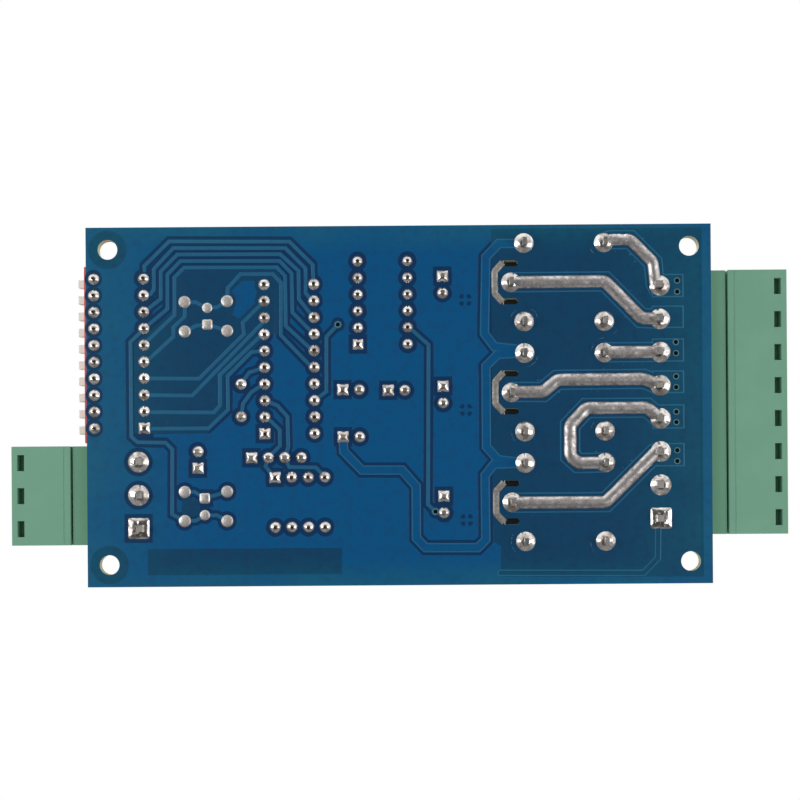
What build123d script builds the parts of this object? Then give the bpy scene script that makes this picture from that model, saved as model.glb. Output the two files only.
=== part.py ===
from build123d import *
import os
from math import cos, radians, sin

os.makedirs("parts", exist_ok=True)

# A three-relay control board with plug-in terminals, in millimetres. The origin is the middle
# of the four corner holes on the solder face, X runs along the board towards the eight-way
# terminals, Y across it, and Z from the solder side towards the components.

# Board
board_length = 95.6
board_width = 55.0
board_thickness = 1.6
corner_hole_diameter = 3.0
corner_inset_x = 3.35
corner_inset_y = 3.4
lead_clearance = 0.03

# Copper and solder
signal_track_width = 0.5
supply_track_width = 1.15
track_thickness = 0.08
tinned_track_width = 2.0
tinned_track_thickness = 0.45
guard_strip_width = 1.07
guard_strip_thickness = 0.2
small_joint_diameter = 1.85
small_joint_height = 0.75
power_joint_diameter = 3.2
power_joint_height = 1.35
joint_slope = 24
small_joint_sides = 6
power_joint_sides = 7
round_sides = 10
fill_diameter = 1.9
middle_fill_diameter = 1.6
fill_height = 0.3
track_gap = 0.02

# Leads
pin_pitch = 2.54
row_spacing = 7.62
wire_drop = 1.2
power_lead_drop = 2.0
leg_width = 0.5
leg_thickness = 0.28
wire_lead = 0.55
square_pin = 0.64

# Relays, in one column along Y
relay_count = 3
relay_pitch = 16.82
relay_com_from_right = 30.6
relay_column_y = -1.88
relay_coil_offset = 2.0
relay_contact_offset = 14.25
relay_half_spread = 6.0
relay_com_to_end = 2.4
relay_length = 19.1
relay_width = 15.5
relay_height = 15.3
relay_base_height = 1.2
relay_case_wall = 0.8
relay_base_play = 0.05
relay_skirt_gap = 0.3
relay_corner = 0.7
relay_top_bevel = 0.5
relay_pin_width = 1.1
relay_pin_thickness = 0.6
slot_width = 0.9
slot_length = 2.3
slot_offset_y = 2.9
slot_from_com = 0.05
slot_bevel = 0.28

# Terminal headers and their plugs
terminal_pitch = 5.08
input_poles = 3
output_poles = 8
header_length = 12.0
header_height = 8.5
header_wall = 0.9
header_back_wall = 0.9
header_pin = 1.0
header_pin_from_back = 1.15
header_overhang = 2.6
input_header_y = 13.46
output_header_y = -0.28
plug_play = 0.12
plug_gap = 0.25
plug_reach = 9.3
plug_height = 15.0
plug_below_board_top = 0.4
plug_back_slope = 3.0
plug_back_step = 1.5
plug_top_chamfer = 1.8
nose_end_gap = 0.5
pin_pocket_play = 0.3
blade_short_of_front = 1.5
notch_width = 1.6
notch_length = 2.4
entry_width = 3.9
entry_height = 5.0
entry_above_plug_bottom = 2.8
entry_back_wall = 2.2
clamp_play = 0.06
clamp_length = 5.2
clamp_wall = 0.6
screw_diameter = 3.7
screw_play = 0.1
screw_recess = 1.4
screw_slot_width = 0.6
screw_slot_depth = 0.8
contact_width = 2.3
contact_thickness = 0.35
contact_gap = 0.1
socket_play = 0.15
key_slot_length = 1.05
key_slot_width = 2.45
key_slot_depth = 2.2
key_slot_reach = 7.9
groove_reach = 1.2
groove_width = 0.25
groove_depth = 0.08

# Address switch with ten side levers
lever_count = 10
switch_from_left = 4.98
switch_y = -8.23
switch_end_margin = 2.17
switch_front_overhang = 0.67
switch_depth = 10.2
switch_height = 6.2
switch_chamfer = 0.6
lever_width = 1.3
lever_side_play = 0.08
lever_thickness = 1.3
lever_proud = 1.6
lever_tilt = 9.0
lever_pivot_depth = 3.5
lever_pivot_height = 3.1
drum_diameter = 2.7
drum_play = 0.07

# Parts in dual-in-line packages
chip_width = 6.35
chip_height = 3.3
chip_standoff = 0.5
chip_end_margin = 1.3
chip_notch = 0.8
chip_notch_depth = 0.5
chip_bevel = 0.25
controller_from_left = 31.03
controller_y = -7.23
controller_pins = 10
transceiver_from_left = 32.53
transceiver_y = 14.7
transceiver_pins = 4
coupler_from_left = 45.37
coupler_y = -15.75
coupler_count = 3
coupler_gap = 0.4

leg_shoulder = 1.9

# Small parts
crystal_from_left = 23.6
crystal_y = -0.95
crystal_lead_pitch = 5.0
crystal_length = 11.0
crystal_width = 4.6
crystal_height = 3.5
program_pins = 4
program_header_from_left = 28.97
program_header_y = 7.86
strip_plastic_height = 2.5
strip_plastic_width = 2.5
strip_pin_rise = 8.5
termination_from_left = 16.95
termination_y = 8.12
termination_pins_count = 2
can_standoff = 0.3
can_bevel = 0.5
can_sides = 16
led_diameter = 3.0
led_flange_diameter = 3.8
led_flange_height = 1.0
led_height = 5.3
led_standoff = 1.0
led_dome_height = 1.1
led_dome_slope = 35
led_from_left = 54.54
led_offset_y = 0.26
status_led_from_left = 40.45
status_led_y = -2.47
driver_from_left = 58.2
driver_offset_y = 2.9
driver_size = (2.9, 1.5, 1.1)
diode_from_left = 59.4
diode_offset_y = -2.6
diode_size = (2.6, 4.4, 2.2)
resistor_from_left = 50.9
resistor_size = (2.0, 1.25, 0.55)
resistor_offsets = (-3.4, -1.2)
regulator_from_left = 46.5
regulator_y = 14.8
regulator_size = (6.5, 3.5, 1.6)
decoupler_size = (1.25, 2.0, 0.9)
decoupler_places = ((20.8, 12.6), (39.6, 18.9), (41.0, 11.6), (51.6, 18.0))

# Drops of solder over the two sites that are left without parts
upper_site = (18.32, -13.82)
lower_site = (18.14, 15.23)
site_spread_x = 6.5
site_spread_y = 4.47

# Signal lanes and the other routes
lane_count = 5
lane_pitch = 1.03
first_lane_x = 0.3
first_lane_inset = 2.2
lane_corner = 3.7
lane_corner_step = 0.55
lane_stub = 0.3
via_diameter = 1.2
supply_reach = 6.2
tinned_rise = 1.0
loop_reach = 5.35

# Strips round the relays' common pins
guard_reach = 2.72
guard_end = 1.35
guard_spread = 3.1
guard_chamfer = 1.4


def place(from_left, y):
    """A point on the board, measured from its left edge and from the middle of its width."""
    return (from_left - board_length / 2, y)


def two_rows(x, y, count, spacing=row_spacing, pitch=pin_pitch):
    """Pins of a part with two rows along Y: the left row first, then the right one."""
    start = y - (count - 1) / 2 * pitch
    return [(x + side * spacing / 2, start + i * pitch) for side in (-1, 1) for i in range(count)]


def column(x, y, count, pitch=pin_pitch):
    """Pins in one row along Y."""
    start = y - (count - 1) / 2 * pitch
    return [(x, start + i * pitch) for i in range(count)]


# Where everything sits
hole_span_x = board_length - 2 * corner_inset_x
hole_span_y = board_width - 2 * corner_inset_y
relay_com_x = board_length / 2 - relay_com_from_right
relay_ys = [relay_column_y + (n - (relay_count - 1) / 2) * relay_pitch for n in range(relay_count)]
relay_coil_x = relay_com_x + relay_coil_offset
relay_contact_x = relay_com_x + relay_contact_offset
relay_pin_places = {
    n: [(relay_com_x, y)]
    + [(relay_coil_x, y + s * relay_half_spread) for s in (-1, 1)]
    + [(relay_contact_x, y + s * relay_half_spread) for s in (-1, 1)]
    for n, y in enumerate(relay_ys)
}
header_pin_from_edge = header_length - header_pin_from_back - header_overhang
input_pin_x = -board_length / 2 + header_pin_from_edge
output_pin_x = board_length / 2 - header_pin_from_edge
input_pins = column(input_pin_x, input_header_y, input_poles, terminal_pitch)
output_pins = column(output_pin_x, output_header_y, output_poles, terminal_pitch)
switch_x, _ = place(switch_from_left, switch_y)
switch_pins = two_rows(switch_x, switch_y, lever_count)
controller_x, _ = place(controller_from_left, controller_y)
controller_legs = two_rows(controller_x, controller_y, controller_pins)
transceiver_x, _ = place(transceiver_from_left, transceiver_y)
coupler_x, _ = place(coupler_from_left, coupler_y)
coupler_legs = two_rows(coupler_x, coupler_y, 2 * coupler_count)
crystal_x, _ = place(crystal_from_left, crystal_y)
crystal_leads_at = column(crystal_x, crystal_y, 2, crystal_lead_pitch)
program_x, _ = place(program_header_from_left, program_header_y)
led_x, _ = place(led_from_left, 0)
led_ys = [y + led_offset_y for y in relay_ys]

# The transceiver's rows run along X
transceiver_legs = [
    (transceiver_x + (i - (transceiver_pins - 1) / 2) * pin_pitch, transceiver_y + s * row_spacing / 2)
    for s in (-1, 1)
    for i in range(transceiver_pins)
]
program_pin_places = [
    (program_x + (i - (program_pins - 1) / 2) * pin_pitch, program_header_y) for i in range(program_pins)
]

termination_x, _ = place(termination_from_left, termination_y)
termination_pin_places = column(termination_x, termination_y, termination_pins_count)

# Electrolytic capacitors: first lead, second lead, can diameter and height
capacitors = {
    "supply_capacitor": (place(39.18, 4.75), place(41.72, 4.75), 8.0, 12.0),
    "filter_capacitor": (place(46.13, -2.32), place(48.67, -2.32), 5.0, 11.0),
}
capacitor_leads_at = [p for first, second, _, _ in capacitors.values() for p in (first, second)]
status_led_at = place(status_led_from_left, status_led_y)
led_leads_at = [(led_x, y + s * pin_pitch / 2) for y in led_ys for s in (-1, 1)]
led_leads_at += [(status_led_at[0] + s * pin_pitch / 2, status_led_y) for s in (-1, 1)]

# Every family of leads with its section along X and along Y. Flat legs are cut off flush with
# the solder face and lie under their solder; wires and pins stand through it.
leg_families = [
    (switch_pins, leg_thickness, leg_width),
    (controller_legs, leg_thickness, leg_width),
    (coupler_legs, leg_thickness, leg_width),
    (transceiver_legs, leg_width, leg_thickness),
]
wire_families = [
    (crystal_leads_at + capacitor_leads_at + led_leads_at, wire_lead, wire_lead),
    (program_pin_places + termination_pin_places, square_pin, square_pin),
]
power_families = [
    ([p for places in relay_pin_places.values() for p in places], relay_pin_thickness, relay_pin_width),
    (input_pins + output_pins, header_pin, header_pin),
]
slot_centres = [
    (relay_com_x + slot_from_com, y + s * slot_offset_y) for y in relay_ys for s in (-1, 1)
]

with BuildPart() as circuit_board:
    with BuildSketch():
        Rectangle(board_length, board_width)
        with GridLocations(hole_span_x, hole_span_y, 2, 2):
            Circle(corner_hole_diameter / 2, mode=Mode.SUBTRACT)
        for places, along_x, along_y in leg_families + wire_families + power_families:
            with Locations(*places):
                Rectangle(
                    along_x + 2 * lead_clearance, along_y + 2 * lead_clearance, mode=Mode.SUBTRACT
                )
        for x, y in slot_centres:
            with BuildLine():
                Polyline(
                    (x - slot_length / 2, y - slot_width / 2),
                    (x - slot_length / 2, y + slot_width / 2),
                    (x + slot_length / 2 - slot_bevel, y + slot_width / 2),
                    (x + slot_length / 2, y + slot_width / 2 - slot_bevel),
                    (x + slot_length / 2, y - slot_width / 2 + slot_bevel),
                    (x + slot_length / 2 - slot_bevel, y - slot_width / 2),
                    close=True,
                )
            make_face(mode=Mode.SUBTRACT)
    extrude(amount=board_thickness)
circuit_board.part.label = "circuit_board"
export_step(circuit_board.part, "parts/circuit_board.step")



def joint_cone(diameter, height, sides, opening=None):
    """One solder cone on the underside, with the opening that a standing lead fills."""
    with BuildPart() as cone:
        with BuildSketch():
            RegularPolygon(diameter / 2, sides)
        extrude(amount=-height, taper=joint_slope)
        if opening:
            with BuildSketch():
                Rectangle(opening[0] + 2 * lead_clearance, opening[1] + 2 * lead_clearance)
            extrude(amount=-height, mode=Mode.SUBTRACT)
    return cone.part


small_size = (small_joint_diameter, small_joint_height, small_joint_sides)
power_size = (power_joint_diameter, power_joint_height, power_joint_sides)
leg_cone = joint_cone(*small_size)
wire_cones = [(family[0], joint_cone(*small_size, opening=family[1:])) for family in wire_families]
power_cones = [(family[0], joint_cone(*power_size, opening=family[1:])) for family in power_families]

with BuildPart() as small_solder_joints:
    for places, _, _ in leg_families:
        with Locations(*places):
            add(leg_cone)
    for places, cone in wire_cones:
        with Locations(*places):
            add(cone)
small_solder_joints.part.label = "small_solder_joints"
export_step(small_solder_joints.part, "parts/small_solder_joints.step")

with BuildPart() as power_solder_joints:
    for places, cone in power_cones:
        with Locations(*places):
            add(cone)
power_solder_joints.part.label = "power_solder_joints"
export_step(power_solder_joints.part, "parts/power_solder_joints.step")

# The empty sites: four corner pads and two middle pads, each filled flat with solder
site_centres = [place(*upper_site), place(*lower_site)]
site_corners = [
    (x + sx * site_spread_x / 2, y + sy * site_spread_y / 2)
    for x, y in site_centres
    for sx in (-1, 1)
    for sy in (-1, 1)
]
site_middles = [(x, y + s * pin_pitch / 2) for x, y in site_centres for s in (-1, 1)]
with BuildPart() as filled_pads:
    with BuildSketch():
        with Locations(*site_corners):
            RegularPolygon(fill_diameter / 2, small_joint_sides)
        with Locations(*site_middles):
            RegularPolygon(middle_fill_diameter / 2, small_joint_sides)
    extrude(amount=-fill_height)
filled_pads.part.label = "filled_pads"
export_step(filled_pads.part, "parts/filled_pads.step")


def strip(points, width):
    """The outline of a track of one width along a route; used inside a sketch."""
    with BuildLine() as route:
        Polyline(*points)
    trace(route.line, width)


def keep_off(families, diameter, sides):
    """Cuts the feet of the solder cones out of a sketch of tracks."""
    for places, _, _ in families:
        with Locations(*places):
            RegularPolygon(diameter / 2 + track_gap, sides, mode=Mode.SUBTRACT)


# Tinned power tracks, from the relays' contacts to the eight-way header
out = output_pins
relay_com = [(relay_com_x, y) for y in relay_ys]
relay_contact = [(relay_contact_x, y - relay_half_spread) for y in relay_ys]
second_bend_y = out[3][1] - tinned_rise
loop_left_x = relay_contact_x - loop_reach
tinned_routes = [
    [
        relay_contact[0],
        (relay_contact_x + 1.5, relay_contact[0][1] - 0.6),
        (relay_contact_x + 4.5, relay_contact[0][1] - 0.6),
        (out[0][0], out[0][1] - 3.6),
        out[0],
    ],
    [
        relay_com[0],
        (relay_contact_x, relay_com[0][1]),
        (out[1][0] - 2.3, out[1][1]),
        out[1],
    ],
    [relay_contact[1], out[2]],
    [
        relay_com[1],
        (relay_com_x + 4.8, relay_com[1][1]),
        (relay_com_x + 7.0, second_bend_y),
        (out[3][0] - 1.5, second_bend_y),
        out[3],
    ],
    [
        out[4],
        (out[4][0] - 1.5, out[4][1] - 1.6),
        (loop_left_x + 2.5, out[4][1] - 1.6),
        (loop_left_x, out[4][1] + 0.9),
        (loop_left_x, relay_contact[2][1] - 1.1),
        (loop_left_x + 1.1, relay_contact[2][1]),
        relay_contact[2],
    ],
    [
        relay_com[2],
        (relay_contact_x, relay_com[2][1]),
        out[5],
    ],
]
with BuildPart() as power_tracks:
    with BuildSketch():
        for route in tinned_routes:
            strip(route, tinned_track_width)
        keep_off(power_families, power_joint_diameter, power_joint_sides)
    extrude(amount=-tinned_track_thickness)
power_tracks.part.label = "power_tracks"
export_step(power_tracks.part, "parts/power_tracks.step")

# Bare strips that guard the relays' common pins, bent round to the milled slots
with BuildPart() as guard_strips:
    with BuildSketch():
        for y in relay_ys:
            strip(
                [
                    (relay_com_x - guard_end, y - guard_spread),
                    (relay_com_x - guard_reach, y - guard_spread + guard_chamfer),
                    (relay_com_x - guard_reach, y + guard_spread - guard_chamfer),
                    (relay_com_x - guard_end, y + guard_spread),
                ],
                guard_strip_width,
            )
    extrude(amount=-guard_strip_thickness)
guard_strips.part.label = "guard_strips"
export_step(guard_strips.part, "parts/guard_strips.step")

# Signal tracks. Five lanes run side by side from the address switch over the top to the
# controller; the others are listed from pin to pin.
switch_right = switch_pins[lever_count:]
controller_left = controller_legs[:controller_pins]
controller_right = controller_legs[controller_pins:]
lane_routes = []
for k in range(lane_count):
    start, end = switch_right[k], controller_right[k]
    left_x = start[0] + first_lane_x + k * lane_pitch
    right_x = end[0] - k * lane_pitch
    lane_y = -board_width / 2 + first_lane_inset + k * lane_pitch
    corner = lane_corner - k * lane_corner_step
    lane_routes.append(
        [
            start,
            (left_x, start[1] - (left_x - start[0])),
            (left_x, lane_y + corner),
            (left_x + corner, lane_y),
            (right_x - corner, lane_y),
            (right_x, lane_y + corner),
            (right_x, end[1] - (end[0] - right_x) - lane_stub),
            end,
        ]
    )


def run(start, steps, end):
    """A route from one pin to another, by steps along X and Y."""
    points = [start]
    for along_x, along_y in steps:
        points.append((points[-1][0] + along_x, points[-1][1] + along_y))
    return points + [end]


upper_left_fill, upper_right_fill = site_corners[0], site_corners[2]
lower_left_fill = site_corners[5]
controller_via = (controller_right[2][0] + 3.66, controller_right[2][1] + 1.1)
coupler_right = coupler_legs[2 * coupler_count:]
driver_via = (coupler_right[4][0] + 4.1, relay_ys[2] + 1.3)
signal_routes = lane_routes + [
    run(upper_right_fill, [(0, -2.0), (2.05, -2.15), (5.0, 0), (1.2, 1.3), (0, 8.0)], controller_right[5]),
    run(switch_right[5], [(4.5, -3.9), (0, -1.4), (1.75, -1.7)], upper_left_fill),
    run(switch_right[6], [(8.4, 0), (6.9, -6.8), (-0.15, -1.75)], controller_left[1]),
    run(switch_right[7], [(7.4, 0)], controller_left[2]),
    run(controller_left[3], [(-6.8, 6.2), (0, 4.7), (-1.1, 1.0)], switch_right[8]),
    run(controller_left[4], [(-1.95, 0.2), (-3.65, 3.68), (0, 5.1), (-3.0, 2.8)], switch_right[9]),
    run(
        switch_right[3],
        [(-2.0, 2.05), (0, 14.5), (0.95, 0.95), (4.3, 0), (1.0, 1.0), (0, 9.9)],
        lower_left_fill,
    ),
    run(coupler_right[4], [(3.0, 2.7), (0, 24.4)], driver_via),
    run(controller_via, [(-1.8, 1.9), (0, 8.8)], controller_right[8]),
]

# The wide supply track goes from the supply capacitor to the third relay's coil, and on
# from coil to coil
coil_tops = [(relay_coil_x, y - relay_half_spread) for y in relay_ys]
supply_start = capacitors["supply_capacitor"][0]
supply_routes = [
    run(
        supply_start,
        [(0, 2.3), (2.8, 2.8), (6.15, 0), (2.15, 2.45), (0, 8.4), (1.2, 1.1), (8.5, 0), (0.7, -0.7), (0, -10.1)],
        (coil_tops[2][0] - 4.5, coil_tops[2][1]),
    )
    + [coil_tops[2]]
]
for upper, lower in zip(coil_tops, coil_tops[1:]):
    supply_routes.append(
        [
            upper,
            (upper[0] - 3.8, upper[1]),
            (upper[0] - supply_reach, upper[1] + supply_reach - 3.8),
            (upper[0] - supply_reach, lower[1] - supply_reach + 4.3),
            (lower[0] - 4.3, lower[1]),
            lower,
        ]
    )

with BuildPart() as signal_tracks:
    with BuildSketch():
        for route in signal_routes:
            strip(route, signal_track_width)
        for route in supply_routes:
            strip(route, supply_track_width)
        with Locations(controller_via, driver_via):
            RegularPolygon(via_diameter / 2, small_joint_sides)
        keep_off(leg_families + wire_families, small_joint_diameter, small_joint_sides)
        keep_off(power_families, power_joint_diameter, power_joint_sides)
        with Locations(*site_corners):
            RegularPolygon(fill_diameter / 2 + track_gap, small_joint_sides, mode=Mode.SUBTRACT)
    extrude(amount=-track_thickness)
signal_tracks.part.label = "signal_tracks"
export_step(signal_tracks.part, "parts/signal_tracks.step")


def straight_leads(families, drop, top):
    """Straight leads from below the board up to the part that they carry."""
    with BuildPart() as leads:
        with BuildSketch(Plane.XY.offset(-drop)):
            for places, along_x, along_y in families:
                with Locations(*places):
                    Rectangle(along_x, along_y)
        extrude(amount=drop + top)
    return leads


# Relays: a base plate, five pins and a sealed case that comes down over the base
relay_body_x = relay_com_x - relay_com_to_end + relay_length / 2
case_bottom = board_thickness + relay_skirt_gap
with BuildPart() as relay_bases:
    with BuildSketch(Plane.XY.offset(board_thickness)):
        with Locations(*[(relay_body_x, y) for y in relay_ys]):
            Rectangle(relay_length - 2 * relay_case_wall, relay_width - 2 * relay_case_wall)
    extrude(amount=relay_base_height)
relay_bases.part.label = "relay_bases"
export_step(relay_bases.part, "parts/relay_bases.step")

relay_pins = straight_leads(power_families[:1], power_lead_drop, board_thickness)
relay_pins.part.label = "relay_pins"
export_step(relay_pins.part, "parts/relay_pins.step")

for n, y in enumerate(relay_ys):
    with BuildPart() as relay_case:
        with BuildSketch(Plane.XY.offset(case_bottom)):
            with Locations((relay_body_x, y)):
                Rectangle(relay_length, relay_width)
        extrude(amount=board_thickness + relay_height - case_bottom)
        chamfer(relay_case.edges().filter_by(Axis.Z), relay_corner)
        chamfer(relay_case.faces().sort_by(Axis.Z)[-1].edges(), relay_top_bevel)
        with BuildSketch(Plane.XY.offset(case_bottom)):
            with Locations((relay_body_x, y)):
                Rectangle(
                    relay_length - 2 * relay_case_wall + 2 * relay_base_play,
                    relay_width - 2 * relay_case_wall + 2 * relay_base_play,
                )
        extrude(amount=board_thickness + relay_base_height - case_bottom, mode=Mode.SUBTRACT)
    relay_case.part.label = f"relay_{n + 1}_case"
    export_step(relay_case.part, f"parts/relay_{n + 1}_case.step")


# Terminal headers. Lengths are measured outwards from the header's open front.
blade_z = board_thickness + header_height / 2
pin_pocket_length = header_pin_from_back + header_pin / 2 + pin_pocket_play
cavity_length = header_length - header_back_wall - pin_pocket_length


def header_housing(side, centre_y, poles):
    """A header's box: open at the front, with a pocket for each bent pin at the back."""
    front = side * (board_length / 2 + header_overhang)
    width = poles * terminal_pitch
    top = board_thickness + header_height
    outward = Plane(origin=(front, centre_y, blade_z), x_dir=(0, side, 0), z_dir=(side, 0, 0))
    with BuildPart() as housing:
        with BuildSketch(outward.offset(-header_length)):
            Rectangle(width, header_height)
        extrude(amount=header_length)
        with BuildSketch(outward.offset(-cavity_length)):
            Rectangle(width - 2 * header_wall, header_height - 2 * header_wall)
        extrude(amount=cavity_length, mode=Mode.SUBTRACT)
        back = front - side * (header_length - pin_pocket_length / 2)
        with BuildSketch(Plane.XY.offset(board_thickness)):
            with Locations(*[(back, y) for _, y in column(0, centre_y, poles, terminal_pitch)]):
                Rectangle(pin_pocket_length, header_pin + 2 * pin_pocket_play)
        extrude(amount=header_height - header_wall, mode=Mode.SUBTRACT)
        with BuildSketch(outward.offset(-cavity_length - header_back_wall)):
            with Locations(*[(y - centre_y, 0) for _, y in column(0, centre_y, poles, terminal_pitch)]):
                Rectangle(header_pin + 2 * lead_clearance, header_pin + 2 * lead_clearance)
        extrude(amount=header_back_wall, mode=Mode.SUBTRACT)
        notch = front - side * notch_length / 2
        with BuildSketch(Plane.XY.offset(top - header_wall)):
            with Locations(*[(notch, y) for _, y in column(0, centre_y, poles, terminal_pitch)]):
                Rectangle(notch_length, notch_width)
        extrude(amount=header_wall, mode=Mode.SUBTRACT)
    return housing


def header_pins(side, places):
    """Square pins that come up through the board and turn outwards as blades."""
    front = side * (board_length / 2 + header_overhang)
    half = header_pin / 2
    with BuildPart() as pins:
        for x, y in places:
            with BuildSketch(Plane.XZ.offset(-y)):
                with BuildLine():
                    Polyline(
                        (x - side * half, -power_lead_drop),
                        (x + side * half, -power_lead_drop),
                        (x + side * half, blade_z - half),
                        (front - side * blade_short_of_front, blade_z - half),
                        (front - side * blade_short_of_front, blade_z + half),
                        (x - side * half, blade_z + half),
                        close=True,
                    )
                make_face()
            extrude(amount=half, both=True)
    return pins


# Plugs: a housing, and in it for each pole a clamp with its contact strip, and a screw
plug_bottom = board_thickness - plug_below_board_top
plug_top = plug_bottom + plug_height
entry_bottom = plug_bottom + entry_above_plug_bottom
entry_top = entry_bottom + entry_height
nose_length = cavity_length - nose_end_gap
contact_top = blade_z - header_pin / 2 - contact_gap
contact_bottom = contact_top - contact_thickness
screw_reach = entry_back_wall + clamp_play + clamp_length / 2
socket_bottom = contact_bottom - socket_play
socket_top = blade_z + header_pin / 2 + socket_play


def plug_housing(side, centre_y, poles):
    """A plug's moulding: block, nose, wire entries, screw holes and the slots underneath."""
    front = side * (board_length / 2 + header_overhang)
    width = poles * terminal_pitch
    nose_width = poles * terminal_pitch - 2 * header_wall - 2 * plug_play
    nose_height = header_height - 2 * header_wall - 2 * plug_play
    pole_ys = [y for _, y in column(0, centre_y, poles, terminal_pitch)]
    outward = Plane(origin=(front, centre_y, 0), x_dir=(0, side, 0), z_dir=(side, 0, 0))
    with BuildPart() as housing:
        with BuildSketch(Plane.XZ.offset(-centre_y)):
            with BuildLine():
                Polyline(
                    (front + side * plug_gap, plug_bottom),
                    (front + side * plug_reach, plug_bottom),
                    (front + side * plug_reach, plug_top - plug_top_chamfer),
                    (front + side * (plug_reach - plug_top_chamfer), plug_top),
                    (front + side * plug_back_step, plug_top),
                    (front + side * plug_gap, plug_top - plug_back_slope),
                    close=True,
                )
            make_face()
        extrude(amount=width / 2, both=True)
        with BuildSketch(outward.offset(-nose_length)):
            with Locations((0, blade_z)):
                Rectangle(nose_width, nose_height)
        extrude(amount=nose_length + plug_gap)
        with BuildSketch(outward.offset(entry_back_wall)):
            with Locations(*[(y - centre_y, (entry_bottom + entry_top) / 2) for y in pole_ys]):
                Rectangle(entry_width, entry_height)
        extrude(amount=plug_reach - entry_back_wall, mode=Mode.SUBTRACT)
        with BuildSketch(outward.offset(-nose_length)):
            with Locations(*[(y - centre_y, (socket_bottom + socket_top) / 2) for y in pole_ys]):
                Rectangle(contact_width + 2 * socket_play, socket_top - socket_bottom)
        extrude(amount=nose_length + entry_back_wall, mode=Mode.SUBTRACT)
        with BuildSketch(Plane.XY.offset(entry_top)):
            with Locations(*[(front + side * screw_reach, y) for y in pole_ys]):
                RegularPolygon(screw_diameter / 2 + screw_play, round_sides, major_radius=False)
        extrude(amount=plug_top - entry_top, mode=Mode.SUBTRACT)
        with BuildSketch(Plane.XY.offset(plug_bottom)):
            with Locations(*[(front + side * key_slot_reach, y) for y in pole_ys]):
                Rectangle(key_slot_length, key_slot_width)
        extrude(amount=key_slot_depth, mode=Mode.SUBTRACT)
        with BuildSketch(Plane.XY.offset(plug_bottom)):
            with Locations((front + side * groove_reach, centre_y)):
                Rectangle(groove_width, width)
        extrude(amount=groove_depth, mode=Mode.SUBTRACT)
    return housing


def plug_clamps(side, centre_y, poles):
    """Wire clamps, each a cage with a contact strip that runs out under the header's blade."""
    front = side * (board_length / 2 + header_overhang)
    poles_at = [y - centre_y for _, y in column(0, centre_y, poles, terminal_pitch)]
    middle_z = (entry_bottom + entry_top) / 2
    outward = Plane(origin=(front, centre_y, 0), x_dir=(0, side, 0), z_dir=(side, 0, 0))
    cage_width = entry_width - 2 * clamp_play
    cage_height = entry_height - 2 * clamp_play
    with BuildPart() as clamps:
        with BuildSketch(outward.offset(entry_back_wall + clamp_play)):
            with Locations(*[(y, middle_z) for y in poles_at]):
                Rectangle(cage_width, cage_height)
        extrude(amount=clamp_length)
        with BuildSketch(outward.offset(entry_back_wall + clamp_play + clamp_wall)):
            with Locations(*[(y, middle_z) for y in poles_at]):
                Rectangle(cage_width - 2 * clamp_wall, cage_height - 2 * clamp_wall)
        extrude(amount=clamp_length - clamp_wall, mode=Mode.SUBTRACT)
        with BuildSketch(outward.offset(entry_back_wall + clamp_play)):
            with Locations(*[(y, (contact_bottom + contact_top) / 2) for y in poles_at]):
                Rectangle(contact_width, contact_thickness)
        extrude(amount=-(entry_back_wall + clamp_play + nose_length - nose_end_gap))
    return clamps


def plug_screws(side, centre_y, poles):
    """Slotted clamping screws, sunk in the plug's top."""
    x = side * (board_length / 2 + header_overhang + screw_reach)
    places = column(x, centre_y, poles, terminal_pitch)
    head_top = plug_top - screw_recess
    with BuildPart() as screws:
        with BuildSketch(Plane.XY.offset(entry_top)):
            with Locations(*places):
                RegularPolygon(screw_diameter / 2, round_sides)
        extrude(amount=head_top - entry_top)
        with BuildSketch(Plane.XY.offset(head_top - screw_slot_depth)):
            with Locations(*places):
                Rectangle(screw_slot_width, screw_diameter)
        extrude(amount=screw_slot_depth, mode=Mode.SUBTRACT)
    return screws


for name, side, centre_y, places in (
    ("input", -1, input_header_y, input_pins),
    ("output", 1, output_header_y, output_pins),
):
    pieces = {
        f"{name}_header": header_housing(side, centre_y, len(places)),
        f"{name}_header_pins": header_pins(side, places),
        f"{name}_plug": plug_housing(side, centre_y, len(places)),
        f"{name}_clamps": plug_clamps(side, centre_y, len(places)),
        f"{name}_screws": plug_screws(side, centre_y, len(places)),
    }
    for label, piece in pieces.items():
        piece.part.label = label
        export_step(piece.part, f"parts/{label}.step")

# Address switch: a case with a slot for each lever, which rocks on its drum
switch_front_x = -board_length / 2 - switch_front_overhang
switch_length = (lever_count - 1) * pin_pitch + 2 * switch_end_margin
lever_ys = [y for _, y in column(0, switch_y, lever_count)]
pivot_x = switch_front_x + lever_pivot_depth
pivot_z = board_thickness + lever_pivot_height
window_height = drum_diameter + 2 * drum_play
window_depth = lever_pivot_depth + drum_diameter / 2 + drum_play
with BuildPart() as switch_case:
    with BuildSketch(Plane.XZ.offset(-switch_y)):
        with BuildLine():
            Polyline(
                (switch_front_x, board_thickness),
                (switch_front_x + switch_depth, board_thickness),
                (switch_front_x + switch_depth, board_thickness + switch_height),
                (switch_front_x + switch_chamfer, board_thickness + switch_height),
                (switch_front_x, board_thickness + switch_height - switch_chamfer),
                close=True,
            )
        make_face()
    extrude(amount=switch_length / 2, both=True)
    with BuildSketch(Plane(origin=(switch_front_x, switch_y, pivot_z), x_dir=(0, 1, 0), z_dir=(1, 0, 0))):
        with Locations(*[(y - switch_y, 0) for y in lever_ys]):
            Rectangle(lever_width + 2 * lever_side_play, window_height)
    extrude(amount=window_depth, mode=Mode.SUBTRACT)
switch_case.part.label = "switch_case"
export_step(switch_case.part, "parts/switch_case.step")

switch_leads = straight_leads(leg_families[:1], 0, board_thickness)
switch_leads.part.label = "switch_pins"
export_step(switch_leads.part, "parts/switch_pins.step")

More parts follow.
